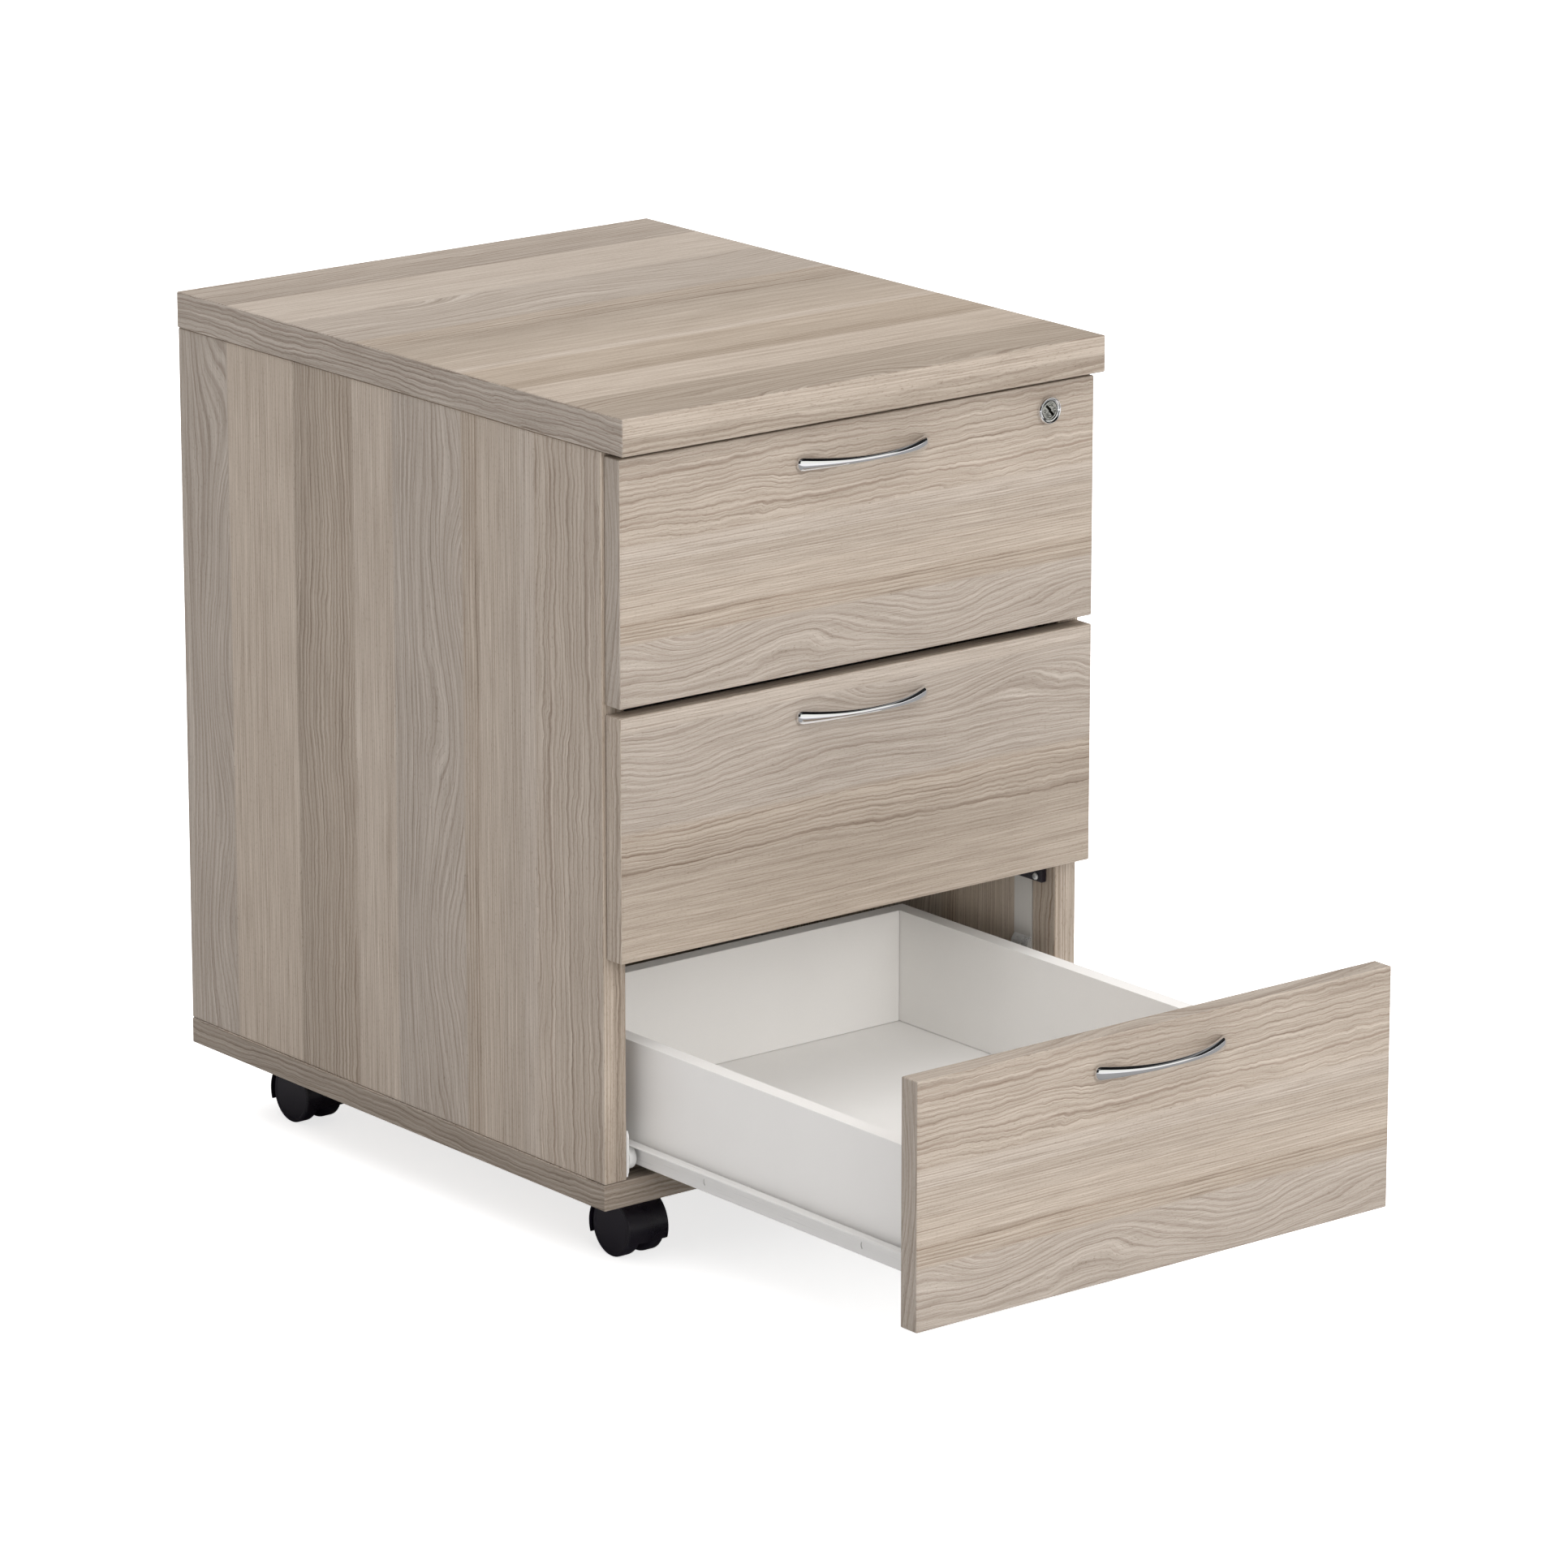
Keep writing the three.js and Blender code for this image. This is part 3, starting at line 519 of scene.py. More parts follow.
def strip_stops(strips):
    """Ramp stops for the colour and for the figure of each strip, with sharp joints between them."""
    width = sum(strip[0] for strip in strips)
    joint = 0.2 / width
    colours, figures, start = [], [], 0.0
    for breadth, tone_start, tone_end, warmth, figure in strips:
        end = start + breadth / width
        arcs_start, arcs_end, kinks, spacing, darkness = figure
        for place, tone, arcs in (
            (start + joint, tone_start, arcs_start), (end - joint, tone_end, arcs_end),
        ):
            colours.append((place, toned(tone, warmth)))
            figures.append((place, (arcs / MOST_ARCS, spacing / WIDEST_RING, darkness,
                                    kinks / MOST_KINKS)))
        start = end
    return colours, figures, width


def oak(name, strips):
    """Oak decor read from the grain attribute: x runs along the grain and y across it, in mm."""
    g = Graph(name)
    along, across, sheet = g.split(g.attribute("grain"))
    colours, figures, width = strip_stops(strips)
    share = g.math("DIVIDE", g.math("WRAP", across, width, 0.0), width)
    tone = g.ramp(share, colours)[0]
    figure, kinks = g.ramp(share, figures)
    arcs, spacing, darkness = g.split(figure)

    def stretched(length, breadth, detail, seed, across=across):
        """Noise from -0.5 to 0.5 in cells of a length along the grain and a breadth across it."""
        place = g.xyz(g.math("DIVIDE", along, length), g.math("DIVIDE", across, breadth),
                      g.math("ADD", sheet, seed))
        return g.math("SUBTRACT", g.noise(place, detail=detail), 0.5)

    # Growth rings: contour lines of the distance across, pushed about by slow noise.
    bends = g.math("MULTIPLY", stretched(150, 54, 0.5, 0.0), g.math("MULTIPLY", arcs, MOST_ARCS * 2.4))
    kink = g.math("ADD", g.math("MULTIPLY", stretched(17, 26, 2.0, 7.0), 2.9),
                  g.math("MULTIPLY", stretched(70, 34, 1.0, 8.0), 4.2))
    kink = g.math("MULTIPLY", kink, g.math("MULTIPLY", kinks, MOST_KINKS * 0.55))
    pushed = g.math("ADD", g.math("ADD", across, bends), kink)
    uneven = g.math("MULTIPLY", stretched(900, 7, 2.0, 3.0, pushed), 1.9)
    rings = g.math("ADD", g.math("DIVIDE", pushed, g.math("MULTIPLY", spacing, WIDEST_RING)), uneven)
    phase = g.math("FRACT", rings)
    chance = g.node("TexWhiteNoise")
    chance.noise_dimensions = "1D"
    g.plug(chance.inputs["W"], g.math("FLOOR", rings))
    latewood = g.math("POWER", g.spread(phase, 0.05, 0.84), 2.8)
    latewood = g.math("MULTIPLY", latewood, g.spread(phase, 0.88, 0.99, 1.0, 0.0, smooth=True))
    fading = g.spread(stretched(55, 3.0, 2.0, 5.0), -0.16, 0.16, 0.55, 1.0)
    lines = g.math("MULTIPLY", latewood, g.spread(chance.outputs["Value"], 0.0, 1.0, 0.55, 1.0))
    lines = g.math("MULTIPLY", g.math("MULTIPLY", lines, fading), darkness)

    # Fibres, slow streaks and short pores.
    fibre = stretched(38, 0.42, 2.0, 11.0)
    thread = stretched(90, 1.1, 2.0, 12.0, pushed)
    streak = stretched(420, 4.0, 3.0, 13.0, pushed)
    cloud = stretched(200, 36, 2.0, 17.0)
    pore = g.spread(stretched(3.2, 0.42, 1.0, 19.0, pushed), 0.10, 0.22)

    lined = g.mix(lines, tone, g.mix(1.0, tone, LINE_TINT, "MULTIPLY"))
    bright = g.math("MULTIPLY_ADD", fibre, 0.80, 1.06)
    for grain, amount in ((thread, 0.75), (streak, 0.50), (cloud, 0.16)):
        bright = g.math("MULTIPLY_ADD", grain, amount, bright)
    bright = g.math("MULTIPLY_ADD", pore, -0.26, bright)
    change = g.math("SUBTRACT", bright, 1.0)
    tinted = [g.math("MULTIPLY_ADD", change, amount, 1.0) for amount in (1.04, 1.16, 1.28)]
    colour = g.mix(1.0, lined, g.xyz(*tinted), "MULTIPLY")
    height = g.math("MULTIPLY_ADD", fibre, 0.8, 0.6)
    height = g.math("MULTIPLY_ADD", pore, -0.4, g.math("MULTIPLY_ADD", lines, -0.3, height))
    g.set(Base_Color=colour, Roughness=g.math("MULTIPLY_ADD", lines, 0.08, 0.52), Specular_IOR_Level=0.35)
    g.bump(height, 0.05, 0.5)
    return g.material


# ---- Other finishes ----


def melamine():
    """White melamine with a fine pearl texture."""
    g = Graph("white_melamine")
    place = g.place()
    pearl = g.noise(place, 1.1, 2.0, 0.6)
    cloud = g.noise(place, 0.02, 2.0)
    mottle = g.math("MULTIPLY", g.around_one(pearl, 0.05), g.around_one(cloud, 0.04))
    g.set(Base_Color=g.shaded((0.86, 0.845, 0.82, 1.0), mottle),
          Roughness=g.spread(pearl, 0.2, 0.8, 0.42, 0.56), Specular_IOR_Level=0.45)
    g.bump(pearl, 0.06, 0.45)
    return g.material


def powder_coat():
    """Baked white paint on steel, with orange peel and slightly rubbed tracks."""
    g = Graph("white_powder_coat")
    place = g.place()
    peel = g.noise(place, 0.75, 2.0, 0.55)
    rubbed = g.noise(g.scaled(place, (1.4, 0.02, 1.4)), 1.0, 3.0)
    g.set(Base_Color=g.shaded((0.82, 0.81, 0.79, 1.0), g.around_one(rubbed, 0.07)),
          Roughness=g.spread(rubbed, 0.3, 0.7, 0.26, 0.42), Specular_IOR_Level=0.5)
    g.bump(peel, 0.05, 0.4)
    return g.material


def moulded(name, colour, rough, texture, distance, variation):
    """Moulded plastic with a spark-eroded texture."""
    g = Graph(name)
    place = g.place()
    grain = g.noise(place, texture, 3.0, 0.6)
    worn = g.noise(place, 0.09, 3.0)
    g.set(Base_Color=g.shaded(colour, g.around_one(worn, variation)),
          Roughness=g.math("ADD", g.spread(grain, 0.3, 0.7, rough - 0.06, rough + 0.06),
                           g.math("MULTIPLY", g.math("SUBTRACT", worn, 0.5), 0.16)))
    g.bump(grain, distance, 0.5)
    return g.material


def plated(name, colour, rough, texture, distance, variation, stretch=(1.0, 1.0, 1.0), metallic=1.0):
    """Metal whose roughness and tone vary with a stretched grain."""
    g = Graph(name)
    grain = g.noise(g.scaled(g.place(), stretch), texture, 3.0, 0.6)
    handled = g.noise(g.place(), 0.06, 2.0)
    g.set(Base_Color=g.shaded(colour, g.around_one(grain, variation)), Metallic=metallic,
          Roughness=g.math("ADD", g.spread(grain, 0.3, 0.7, rough * 0.8, rough * 1.2),
                           g.math("MULTIPLY", handled, rough * 0.3)))
    g.bump(grain, distance, 0.4)
    return g.material


DIM_FLOOR = (1150, 1610)    # millimetres in front: shiny pieces see the floor go from dim to bright, a painted shade in their reflections
DIM, BRIGHT = 0.30, 0.85
FLOOR_GLOW = 0.72           # lightens the shadows that the camera sees on the floor


def floor_paint():
    """Pale paint that also glows for camera rays, a painted lightening that keeps the shadows on it light.
    What shiny pieces reflect of it is painted dim near the cabinet and bright further off, a painted
    shade.
    """
    g = Graph("pale_floor")
    speck = g.noise(g.place(), 0.004, 3.0)
    shade = g.spread(speck, 0.2, 0.8, 0.985, 1.0)
    rays = g.node("LightPath")
    seen = g.spread(g.split(g.place())[1], -DIM_FLOOR[1], -DIM_FLOOR[0], BRIGHT, DIM, smooth=True)
    paint = g.mix(rays.outputs["Is Glossy Ray"], (0.93, 0.93, 0.93, 1.0), g.xyz(seen, seen, seen))
    g.set(Base_Color=g.shaded(paint, shade), Roughness=0.9, Specular_IOR_Level=0.1,
          Emission_Color=(1.0, 1.0, 1.0, 1.0),
          Emission_Strength=g.math("MULTIPLY", rays.outputs["Is Camera Ray"], FLOOR_GLOW))
    return g.material


OAK_A = oak("oak_decor_a", DECOR_A)
OAK_B = oak("oak_decor_b", DECOR_B)
WHITE_BOARD = melamine()
WHITE_STEEL = powder_coat()
NYLON = moulded("white_nylon", (0.78, 0.775, 0.755, 1.0), 0.38, 0.9, 0.02, 0.06)
BLACK = moulded("black_nylon", (0.0082, 0.0064, 0.0122, 1.0), 0.30, 2.2, 0.10, 0.24)
BLACK_TREAD = moulded("black_tread", (0.0145, 0.0116, 0.0215, 1.0), 0.40, 1.4, 0.06, 0.30)
CHROME = plated("chrome", (0.86, 0.86, 0.87, 1.0), 0.055, 0.25, 0.0006, 0.02)
LOCK_METAL = plated("cast_nickel", (0.36, 0.36, 0.33, 1.0), 0.13, 0.55, 0.60, 0.90)
ALUMINIUM = plated("satin_aluminium", (0.64, 0.63, 0.61, 1.0), 0.38, 1.6, 0.02, 0.16,
                   (1.0, 1.0, 0.02), 0.45)
ZINC = plated("bright_zinc", (0.70, 0.71, 0.72, 1.0), 0.26, 0.35, 0.02, 0.20, metallic=0.8)


# ---- Boards ----


FACE_SHEET, BAND_SHEET, END_SHEET = 0.0, 0.5, 0.8      # the noise differs between face and banding


def lay_grain(
    obj, thin, grain, face_crop, band_crop, end_crop=None, zoom=1.0, grain_sign=1, across_sign=1
):
    """Lays the decor on a board. thin is the axis through it and grain the axis of its planks.
    The crops are where on the decor the board's face, its banding along the grain and its banding
    across the grain were cut from: the decor's (along, across) at the board's low edge, or at its
    high edge where the sign is -1. Through the banding they count from the board's high face.
    The zoom is how many millimetres of decor lie on one of the face.
    """
    thin, grain = AXES[thin], AXES[grain]
    across = next(k for k in range(3) if k not in (thin, grain))
    mesh = obj.data
    points = [v.co / MM for v in mesh.vertices]
    low = [min(p[k] for p in points) for k in range(3)]
    high = [max(p[k] for p in points) for k in range(3)]
    layer = mesh.attributes.new("grain", "FLOAT_VECTOR", "CORNER")

    def step(point, axis, sign):
        return point[axis] - low[axis] if sign > 0 else high[axis] - point[axis]

    for polygon in mesh.polygons:
        facing = max(range(3), key=lambda k: abs(polygon.normal[k]))
        for loop in polygon.loop_indices:
            p = points[mesh.loops[loop].vertex_index]
            if facing == thin:
                value = (step(p, grain, grain_sign) * zoom + face_crop[0],
                         step(p, across, across_sign) * zoom + face_crop[1], FACE_SHEET)
            elif facing == across:
                value = (step(p, grain, grain_sign) + band_crop[0],
                         step(p, thin, -1) + band_crop[1], BAND_SHEET)
            else:
                crop = end_crop or band_crop
                value = (step(p, across, across_sign) + crop[0],
                         step(p, thin, -1) + crop[1], END_SHEET)
            layer.data[loop].vector = value


def scored(bm, thin):
    """Cuts the fine joint between the banding and the board into both of its faces."""
    axis = AXES[thin]
    bm.normal_update()
    faces = sorted(bm.faces, key=lambda f: f.calc_area())[-6:]
    for face in [f for f in faces if abs(f.normal[axis]) > 0.99]:
        for inward, depth in ((BAND - EDGE_ROUND, 0), (SCORE / 2, -SCORE / 2), (SCORE / 2, SCORE / 2)):
            bmesh.ops.inset_individual(bm, faces=[face], thickness=inward, depth=depth)
    return bm


def board(node, body, slot, material, thin, grain, face_crop, band_crop, cut=None, **crop):
    """A decor board with rounded edge banding, in place of its CAD node."""
    low, high = box_mm(node)
    bm = scored(rounded_box(low, high, EDGE_ROUND), thin)
    if cut is not None:
        bm = combined(bm, cut, "DIFFERENCE")
    obj = piece(f"{node}_board", bm, material, body, [node])
    lay_grain(obj, thin, grain, face_crop, band_crop, **crop)
    return obj


def bar_groove():
    """The groove in the right side panel that the lock bar slides in."""
    low, high = box_mm("lock_bar")
    panel_low, panel_high = box_mm("right_side_panel")
    return rounded_box(
        Vector((panel_low.x - OVERCUT, low.y - BAR_CLEARANCE, low.z - 2 * CATCH_HEIGHT)),
        Vector((high.x + BAR_CLEARANCE, high.y + BAR_CLEARANCE, panel_high.z + OVERCUT)), 0.0)


board("top_panel", "carcass", "oak_top", OAK_B, "z", "x", (20, 0), (60, 426), end_crop=(900, 26),
      across_sign=-1)
board("left_side_panel", "carcass", "oak_side", OAK_A, "x", "z", (0, 0), (0, 331), grain_sign=-1)
board("right_side_panel", "carcass", "oak_side", OAK_A, "x", "z", (900, 30), (500, 118), bar_groove(),
      grain_sign=-1)
board("back_panel", "carcass", "oak_side", OAK_A, "y", "z", (1500, 60), (300, 70))
# the base is cut from decor A's last, darkest plank: partly darker decor, partly painted shade for the
# shade under the drawers
board("base_panel", "carcass", "oak_side", OAK_A, "z", "x", (2100, 560), (900, 545), end_crop=(1300, 550))

housing_low, housing_high = box_mm("lock_housing")
lock_middle = (housing_low + housing_high) / 2
LOCK_CENTRE = (lock_middle.x, lock_middle.z)
front_low, front_high = box_mm("drawer_1_front")
lock_hole = turned(
    rod(LOCK_BARREL, front_low.y - OVERCUT, front_high.y + OVERCUT), "y", LOCK_CENTRE, 48)
board("drawer_1_front", "drawer_1", "oak_front", OAK_A, "y", "x", (40, 0), (300, 440), lock_hole,
      zoom=1.23, across_sign=-1)
board("drawer_2_front", "drawer_2", "oak_front", OAK_B, "y", "x", (320, 118), (700, 205),
      zoom=1.14, across_sign=-1)
board("drawer_3_front", "drawer_3", "oak_front", OAK_A, "y", "x", (36, 0), (300, 440),
      zoom=1.23, across_sign=-1)

# ---- Screws ----

FACING = {
    "-y": Matrix.Identity(4),
    "+y": Matrix.Rotation(math.pi, 4, "Z"),
    "-x": Matrix.Rotation(-math.pi / 2, 4, "Z"),
    "+x": Matrix.Rotation(math.pi / 2, 4, "Z"),
    "-z": Matrix.Rotation(math.pi / 2, 4, "X"),
}


def cross_screw(radius, height):
    """A pan head with a cross recess. It faces -Y and its seat is a little below Y = 0."""
    rim = [(1.0, 0.25), (0.96, 0.55), (0.80, 0.86), (0.52, 0.98)]
    profile = [(0, 0.2), (radius, 0.2)]
    profile += [(radius * r, -height * h) for r, h in rim] + [(0, -height)]
    head = turned(profile, "y", (0, 0), 40)
    arm, thin, deep = 0.62 * radius, 0.16 * radius, 0.6 * height
    for reach in (Vector((arm, deep, thin)), Vector((thin, deep, arm))):
        middle = Vector((0, -height, 0))
        head = combined(head, rounded_box(middle - reach, middle + reach, 0.04, 1), "DIFFERENCE")
    return head


def placed(bm, place, facing, turn=0.0):
    """A copy of a part drawn facing -Y, set at a place, facing a direction and turned in degrees."""
    spin = Matrix.Rotation(math.radians(turn), 4, "Y")
    return moved(bm, Matrix.Translation(place) @ FACING[facing] @ spin)


PAN_HEAD = cross_screw(4.0, 2.2)
FLAT_HEAD = cross_screw(3.6, 0.9)
SMALL_HEAD = cross_screw(2.5, 1.5)

# ---- Drawer boxes ----


def box_board(node, body, radius):
    low, high = box_mm(node)
    bm = rounded_box(low, high, radius, 2)
    return piece(f"{node}_panel", bm, WHITE_BOARD, body, [node])


INNER_BOARDS = []           # the ones that the fill light reaches
for number in DRAWERS:
    drawer = f"drawer_{number}"
    box_board(f"{drawer}_left_side", drawer, BOX_ROUND)
    for part, radius in (("right_side", BOX_ROUND), ("back", BOX_ROUND), ("bottom", 0.3)):
        INNER_BOARDS.append(box_board(f"{drawer}_{part}", drawer, radius))

# ---- Handles ----


def bow_handle(node):
    """Oval sections along X, tall and thin at the ends, slim and deep in the middle."""
    low, high = box_mm(node)
    half = (high.x - low.x) / 2
    seat, middle = high.y, (low.z + high.z) / 2
    end_round = END_HEIGHT * END_ROUND
    rings = []
    for i in range(HANDLE_STATIONS + 1):
        x = -half * math.cos(math.pi * i / HANDLE_STATIONS) * 0.9999
        share = abs(x) / half
        into_end = max(0.0, abs(x) - (half - end_round)) / end_round
        taper = max(0.0, 1 - into_end ** TAPER_POWER) ** (1 / TAPER_POWER)
        flare = min(1.0, abs(x) / (half - end_round)) ** 2
        height = (MIDDLE_HEIGHT + (END_HEIGHT - MIDDLE_HEIGHT) * flare) * taper
        depth = MIDDLE_DEPTH + (END_DEPTH - MIDDLE_DEPTH) * share ** 2
        depth *= 0.25 + 0.75 * taper
        centre = seat - HANDLE_SEAT_GAP - HANDLE_BOW * (1 - share ** BOW_POWER)
        ring = []
        for j in range(HANDLE_SIDES):
            angle = 2 * math.pi * j / HANDLE_SIDES
            y = centre + depth / 2 * math.cos(angle)
            ring.append(Vector((x, min(y, seat), middle + height / 2 * math.sin(angle))))
        rings.append(ring)
    return skinned(rings)


for number in DRAWERS:
    drawer, node = f"drawer_{number}", f"drawer_{number}_handle"
    piece(f"{node}_bow", bow_handle(node), CHROME, drawer, [node], sharp=60, flat=False)
    handle_low, handle_high = box_mm(node)
    board_back = box_mm(f"{drawer}_front")[1].y
    height = (handle_low.z + handle_high.z) / 2
    heads = [placed(PAN_HEAD, (x, board_back, height), "+y", turn)
             for x, turn in ((-HANDLE_SCREW_X, 20), (HANDLE_SCREW_X, 65))]
    piece(f"{drawer}_handle_screws", gathered(heads), ZINC, drawer)

# ---- Lock ----


def lock_ring():
    front, back = housing_low.y, housing_high.y
    seat = front_low.y - 0.15
    profile = [
        (6.75, back), (6.75, front + 1.35), (6.95, front + 1.1), (7.5, front + 0.95), (7.8, front + 0.55),
        (8.15, front + 0.12), (8.4, front), (8.65, front + 0.06), (9.05, front + 0.55),
        (9.35, front + 1.2), (9.5, front + 1.9), (9.5, seat), (8.2, seat), (8.2, back),
    ]
    return turned(profile, "y", LOCK_CENTRE, 96)


def lock_cylinder():
    low, high = box_mm("lock_cylinder")
    face, back, radius = low.y, housing_high.y + 0.6, (high.x - low.x) / 2
    profile = [
        (0, face + 0.12), (3.6, face + 0.12), (3.9, face + 0.32), (4.7, face + 0.32), (5.0, face),
        (6.0, face), (radius, face + 0.35), (radius, back), (0, back),
    ]
    barrel = turned(profile, "y", LOCK_CENTRE, 96)
    tilt = Matrix.Translation((LOCK_CENTRE[0], face, LOCK_CENTRE[1])) @ Matrix.Rotation(
        math.radians(45), 4, "Y")
    reach, wide, shift = KEY_SLOT_HALF, KEY_SLOT_WIDTH / 2, KEY_SLOT_SHIFT
    for start, end, z in ((-reach, 0.7, shift), (-0.7, reach, -shift)):
        half = rounded_box(Vector((start, -5, z - wide)), Vector((end, 6, z + wide)), 0.2, 1)
        barrel = combined(barrel, moved(half, tilt), "DIFFERENCE")
    for quarter in range(4):
        angle = math.radians(90 * quarter)
        place = (LOCK_CENTRE[0] + DIMPLE_CIRCLE * math.cos(angle),
                 LOCK_CENTRE[1] + DIMPLE_CIRCLE * math.sin(angle))
        dimple = [(0, face - 1), (1.25, face - 1), (1.25, face + 0.3), (0.9, face + 0.6), (0, face + 0.75)]
        barrel = combined(barrel, turned(dimple, "y", place, 24), "DIFFERENCE")
    turn = math.radians(-45)
    pin = (LOCK_CENTRE[0] + PIN_OFFSET * math.cos(turn), LOCK_CENTRE[1] + PIN_OFFSET * math.sin(turn))
    shaft = [(0, back - 2), (PIN_RADIUS, back - 2), (PIN_RADIUS, high.y - 0.4),
             (PIN_RADIUS - 0.4, high.y), (0, high.y)]
    return combined(barrel, turned(shaft, "y", pin, 32)), pin


piece("lock_ring", lock_ring(), CHROME, "drawer_1", ["lock_housing"], flat=False)
cylinder, PIN_CENTRE = lock_cylinder()
piece("lock_face", cylinder, LOCK_METAL, "lock_cylinder", ["lock_cylinder"], flat=False)


def lock_bar():
    """Flat bar with the slotted bracket for the lock's pin."""
    low, high = box_mm("lock_bar")
    face = high.x - BAR_THICKNESS
    bar = rounded_box(Vector((face, low.y, low.z)), high, 0.35, 2)
    pin_x, pin_z = PIN_CENTRE
    bracket_low = Vector((low.x, BRACKET_Y[0], pin_z - PIN_BRACKET))
    bracket_high = Vector((face + 1, BRACKET_Y[1], pin_z + PIN_BRACKET))
    bracket = rounded_box(bracket_low, bracket_high, 0.3, 2)
    slot_low = Vector((pin_x - 3.0, BRACKET_Y[0] - 1, pin_z - PIN_SLOT))
    slot_high = Vector((pin_x + 4.5, BRACKET_Y[1] + 1, pin_z + PIN_SLOT))
    bracket = combined(bracket, rounded_box(slot_low, slot_high, 0.0), "DIFFERENCE")
    return combined(bar, bracket)


def bar_catch(bottom):
    """A bent tab with a sloping back that holds one drawer."""
    low, high = box_mm("lock_bar")
    face = high.x - BAR_THICKNESS
    top, middle = bottom + CATCH_HEIGHT, bottom + CATCH_HEIGHT / 2
    outline = [
        (face + 0.6, bottom), (face + 0.6, top), (face - 0.2, top - 0.5), (CATCH_X + 0.3, middle + 0.3),
        (CATCH_X, middle - 0.3), (CATCH_X, bottom + 0.4), (CATCH_X + 0.4, bottom),
    ]
    return extruded(outline, "y", low.y + 0.3, high.y - 0.3, 0.3)


piece("lock_bar_strip", lock_bar(), ALUMINIUM, "lock_bar", ["lock_bar"])
bar_low, bar_high = box_mm("lock_bar")
lowest_front = box_mm("drawer_3_front")[1].z
for number in DRAWERS:
    rise = box_mm(f"drawer_{number}_front")[1].z - lowest_front
    piece(f"lock_bar_catch_{number}", bar_catch(bar_low.z + rise), ZINC, "lock_bar")


def bar_guide():
    low, high = box_mm("lock_bar_guide")
    body = rounded_box(low, high, 0.9)
    relief = rounded_box(
        Vector((bar_high.x - BAR_THICKNESS - BAR_CLEARANCE, bar_low.y - BAR_CLEARANCE, low.z - 1)),
        Vector((high.x + 1, high.y + 1, high.z + 1)), 0.0)
    return combined(body, relief, "DIFFERENCE")


piece("lock_bar_guide_block", bar_guide(), BLACK, "carcass", ["lock_bar_guide"])
guide_low, guide_high = box_mm("lock_bar_guide")
screw_place = (guide_low.x, guide_low.y + GUIDE_SCREW[0], guide_low.z + GUIDE_SCREW[1])
guide_screw = placed(SMALL_HEAD, screw_place, "-x", 30)
piece("lock_bar_guide_screw", guide_screw, ZINC, "carcass")

# ---- Runners and rollers ----


def mirrored(points, side):
    return [(side * x, z) for x, z in points]


def crescent(x, y, z):
    """A bent spindle that cuts a crescent slot through the web of a drawer runner."""
    steps, sides = 14, 10
    rings = []
    for i in range(steps + 1):
        share = i / steps * 2 - 1
        angle = math.radians(CRESCENT_HALF_ANGLE) * share
        girth = CRESCENT_GIRTH * math.sqrt(max(0.02, 1 - share ** 4))
        ring = []
        for j in range(sides):
            around = 2 * math.pi * j / sides
            reach = CRESCENT_RADIUS + girth * math.cos(around)
            ring.append(Vector((
                x + girth * math.sin(around), y + reach * math.cos(angle), z + reach * math.sin(angle))))
        rings.append(ring)
    return skinned(rings)


def drawer_runner(node, side):
    """Sheet steel that wraps the lower edge of the drawer box and rides on the front roller."""
    low, high = box_mm(node)
    ledge = high.z
    bottom = ledge - RUNNER_HEIGHT
    half = SHEET / 2
    path = [(FOOT_X, bottom + half), (DRAWER_WEB_X, bottom + half), (DRAWER_WEB_X, ledge - half),
            (LEDGE_X, ledge - half)]
    outline = sheet_outline(mirrored(path, side), SHEET, SHEET_BEND)
    runner = extruded(outline, "y", low.y, high.y)
    for back in CRESCENT_BACK:
        slot = crescent(side * DRAWER_WEB_X, low.y + back - CRESCENT_RADIUS, bottom + CRESCENT_RISE)
        runner = combined(runner, slot, "DIFFERENCE")
    return runner


def cabinet_runner(node, side):
    """Channel on the side panel: a web on three pads and the two flanges that hold the rear roller."""
    low, high = box_mm(node)
    front, back = box_mm("cabinet_runner_3_left")[0].y, high.y
    bottom, top, half = low.z, high.z, SHEET / 2
    upper = top - UPPER_FLANGE_DROP
    path = [(CHANNEL_X, bottom + half), (CABINET_WEB_X, bottom + half), (CABINET_WEB_X, top - 0.3)]
    start = front + CHANNEL_START
    runner = extruded(sheet_outline(mirrored(path, side), SHEET, SHEET_BEND), "y", start, back)

    edge = arc((front + NOSE_CORNER, top - NOSE_CORNER), NOSE_CORNER, 90, 180, 8)
    edge += arc((front + NOSE_CORNER, bottom + NOSE_CORNER), NOSE_CORNER, 180, 270, 8)
    nose = edge + [(start + 0.5, bottom), (start + 0.5, top)]
    web = sorted((side * (CABINET_WEB_X - half), side * (CABINET_WEB_X + half)))
    runner = combined(runner, extruded(nose, "x", *web, 0.25))

    inner, outer = sorted((side * CHANNEL_X, side * CABINET_WEB_X))
    flange = rounded_box(Vector((inner, start, upper)), Vector((outer, back, upper + SHEET)), 0.3, 2)
    runner = combined(runner, flange)
    near, far = sorted((side * CABINET_WEB_X, side * (PANEL_X - 0.25)))
    middle = (front + back) / 2
    first, second, last = PAD_LENGTHS
    for start, end in ((front + 0.3, front + first), (middle - second / 2, middle + second / 2),
                       (back - last, back - 0.3)):
        pad = rounded_box(Vector((near, start, bottom + 0.3)), Vector((far, end, top - 0.3)), 0.5, 2)
        runner = combined(runner, pad)
    return runner


def roller(start, centre):
    """A nylon roller with a hub, a shallow dish on each face and a rounded rim."""
    end = start + ROLLER_WIDTH
    face = [(2.65, 0.0), (4.7, 0.0), (5.1, 0.4), (6.7, 0.4), (7.1, 0.05), (7.7, 0.0), (8.2, 0.2),
            (8.4, 0.75)]
    profile = [(r, start + x) for r, x in face] + [(r, end - x) for r, x in reversed(face)]
    return turned(profile, "x", centre, 64)


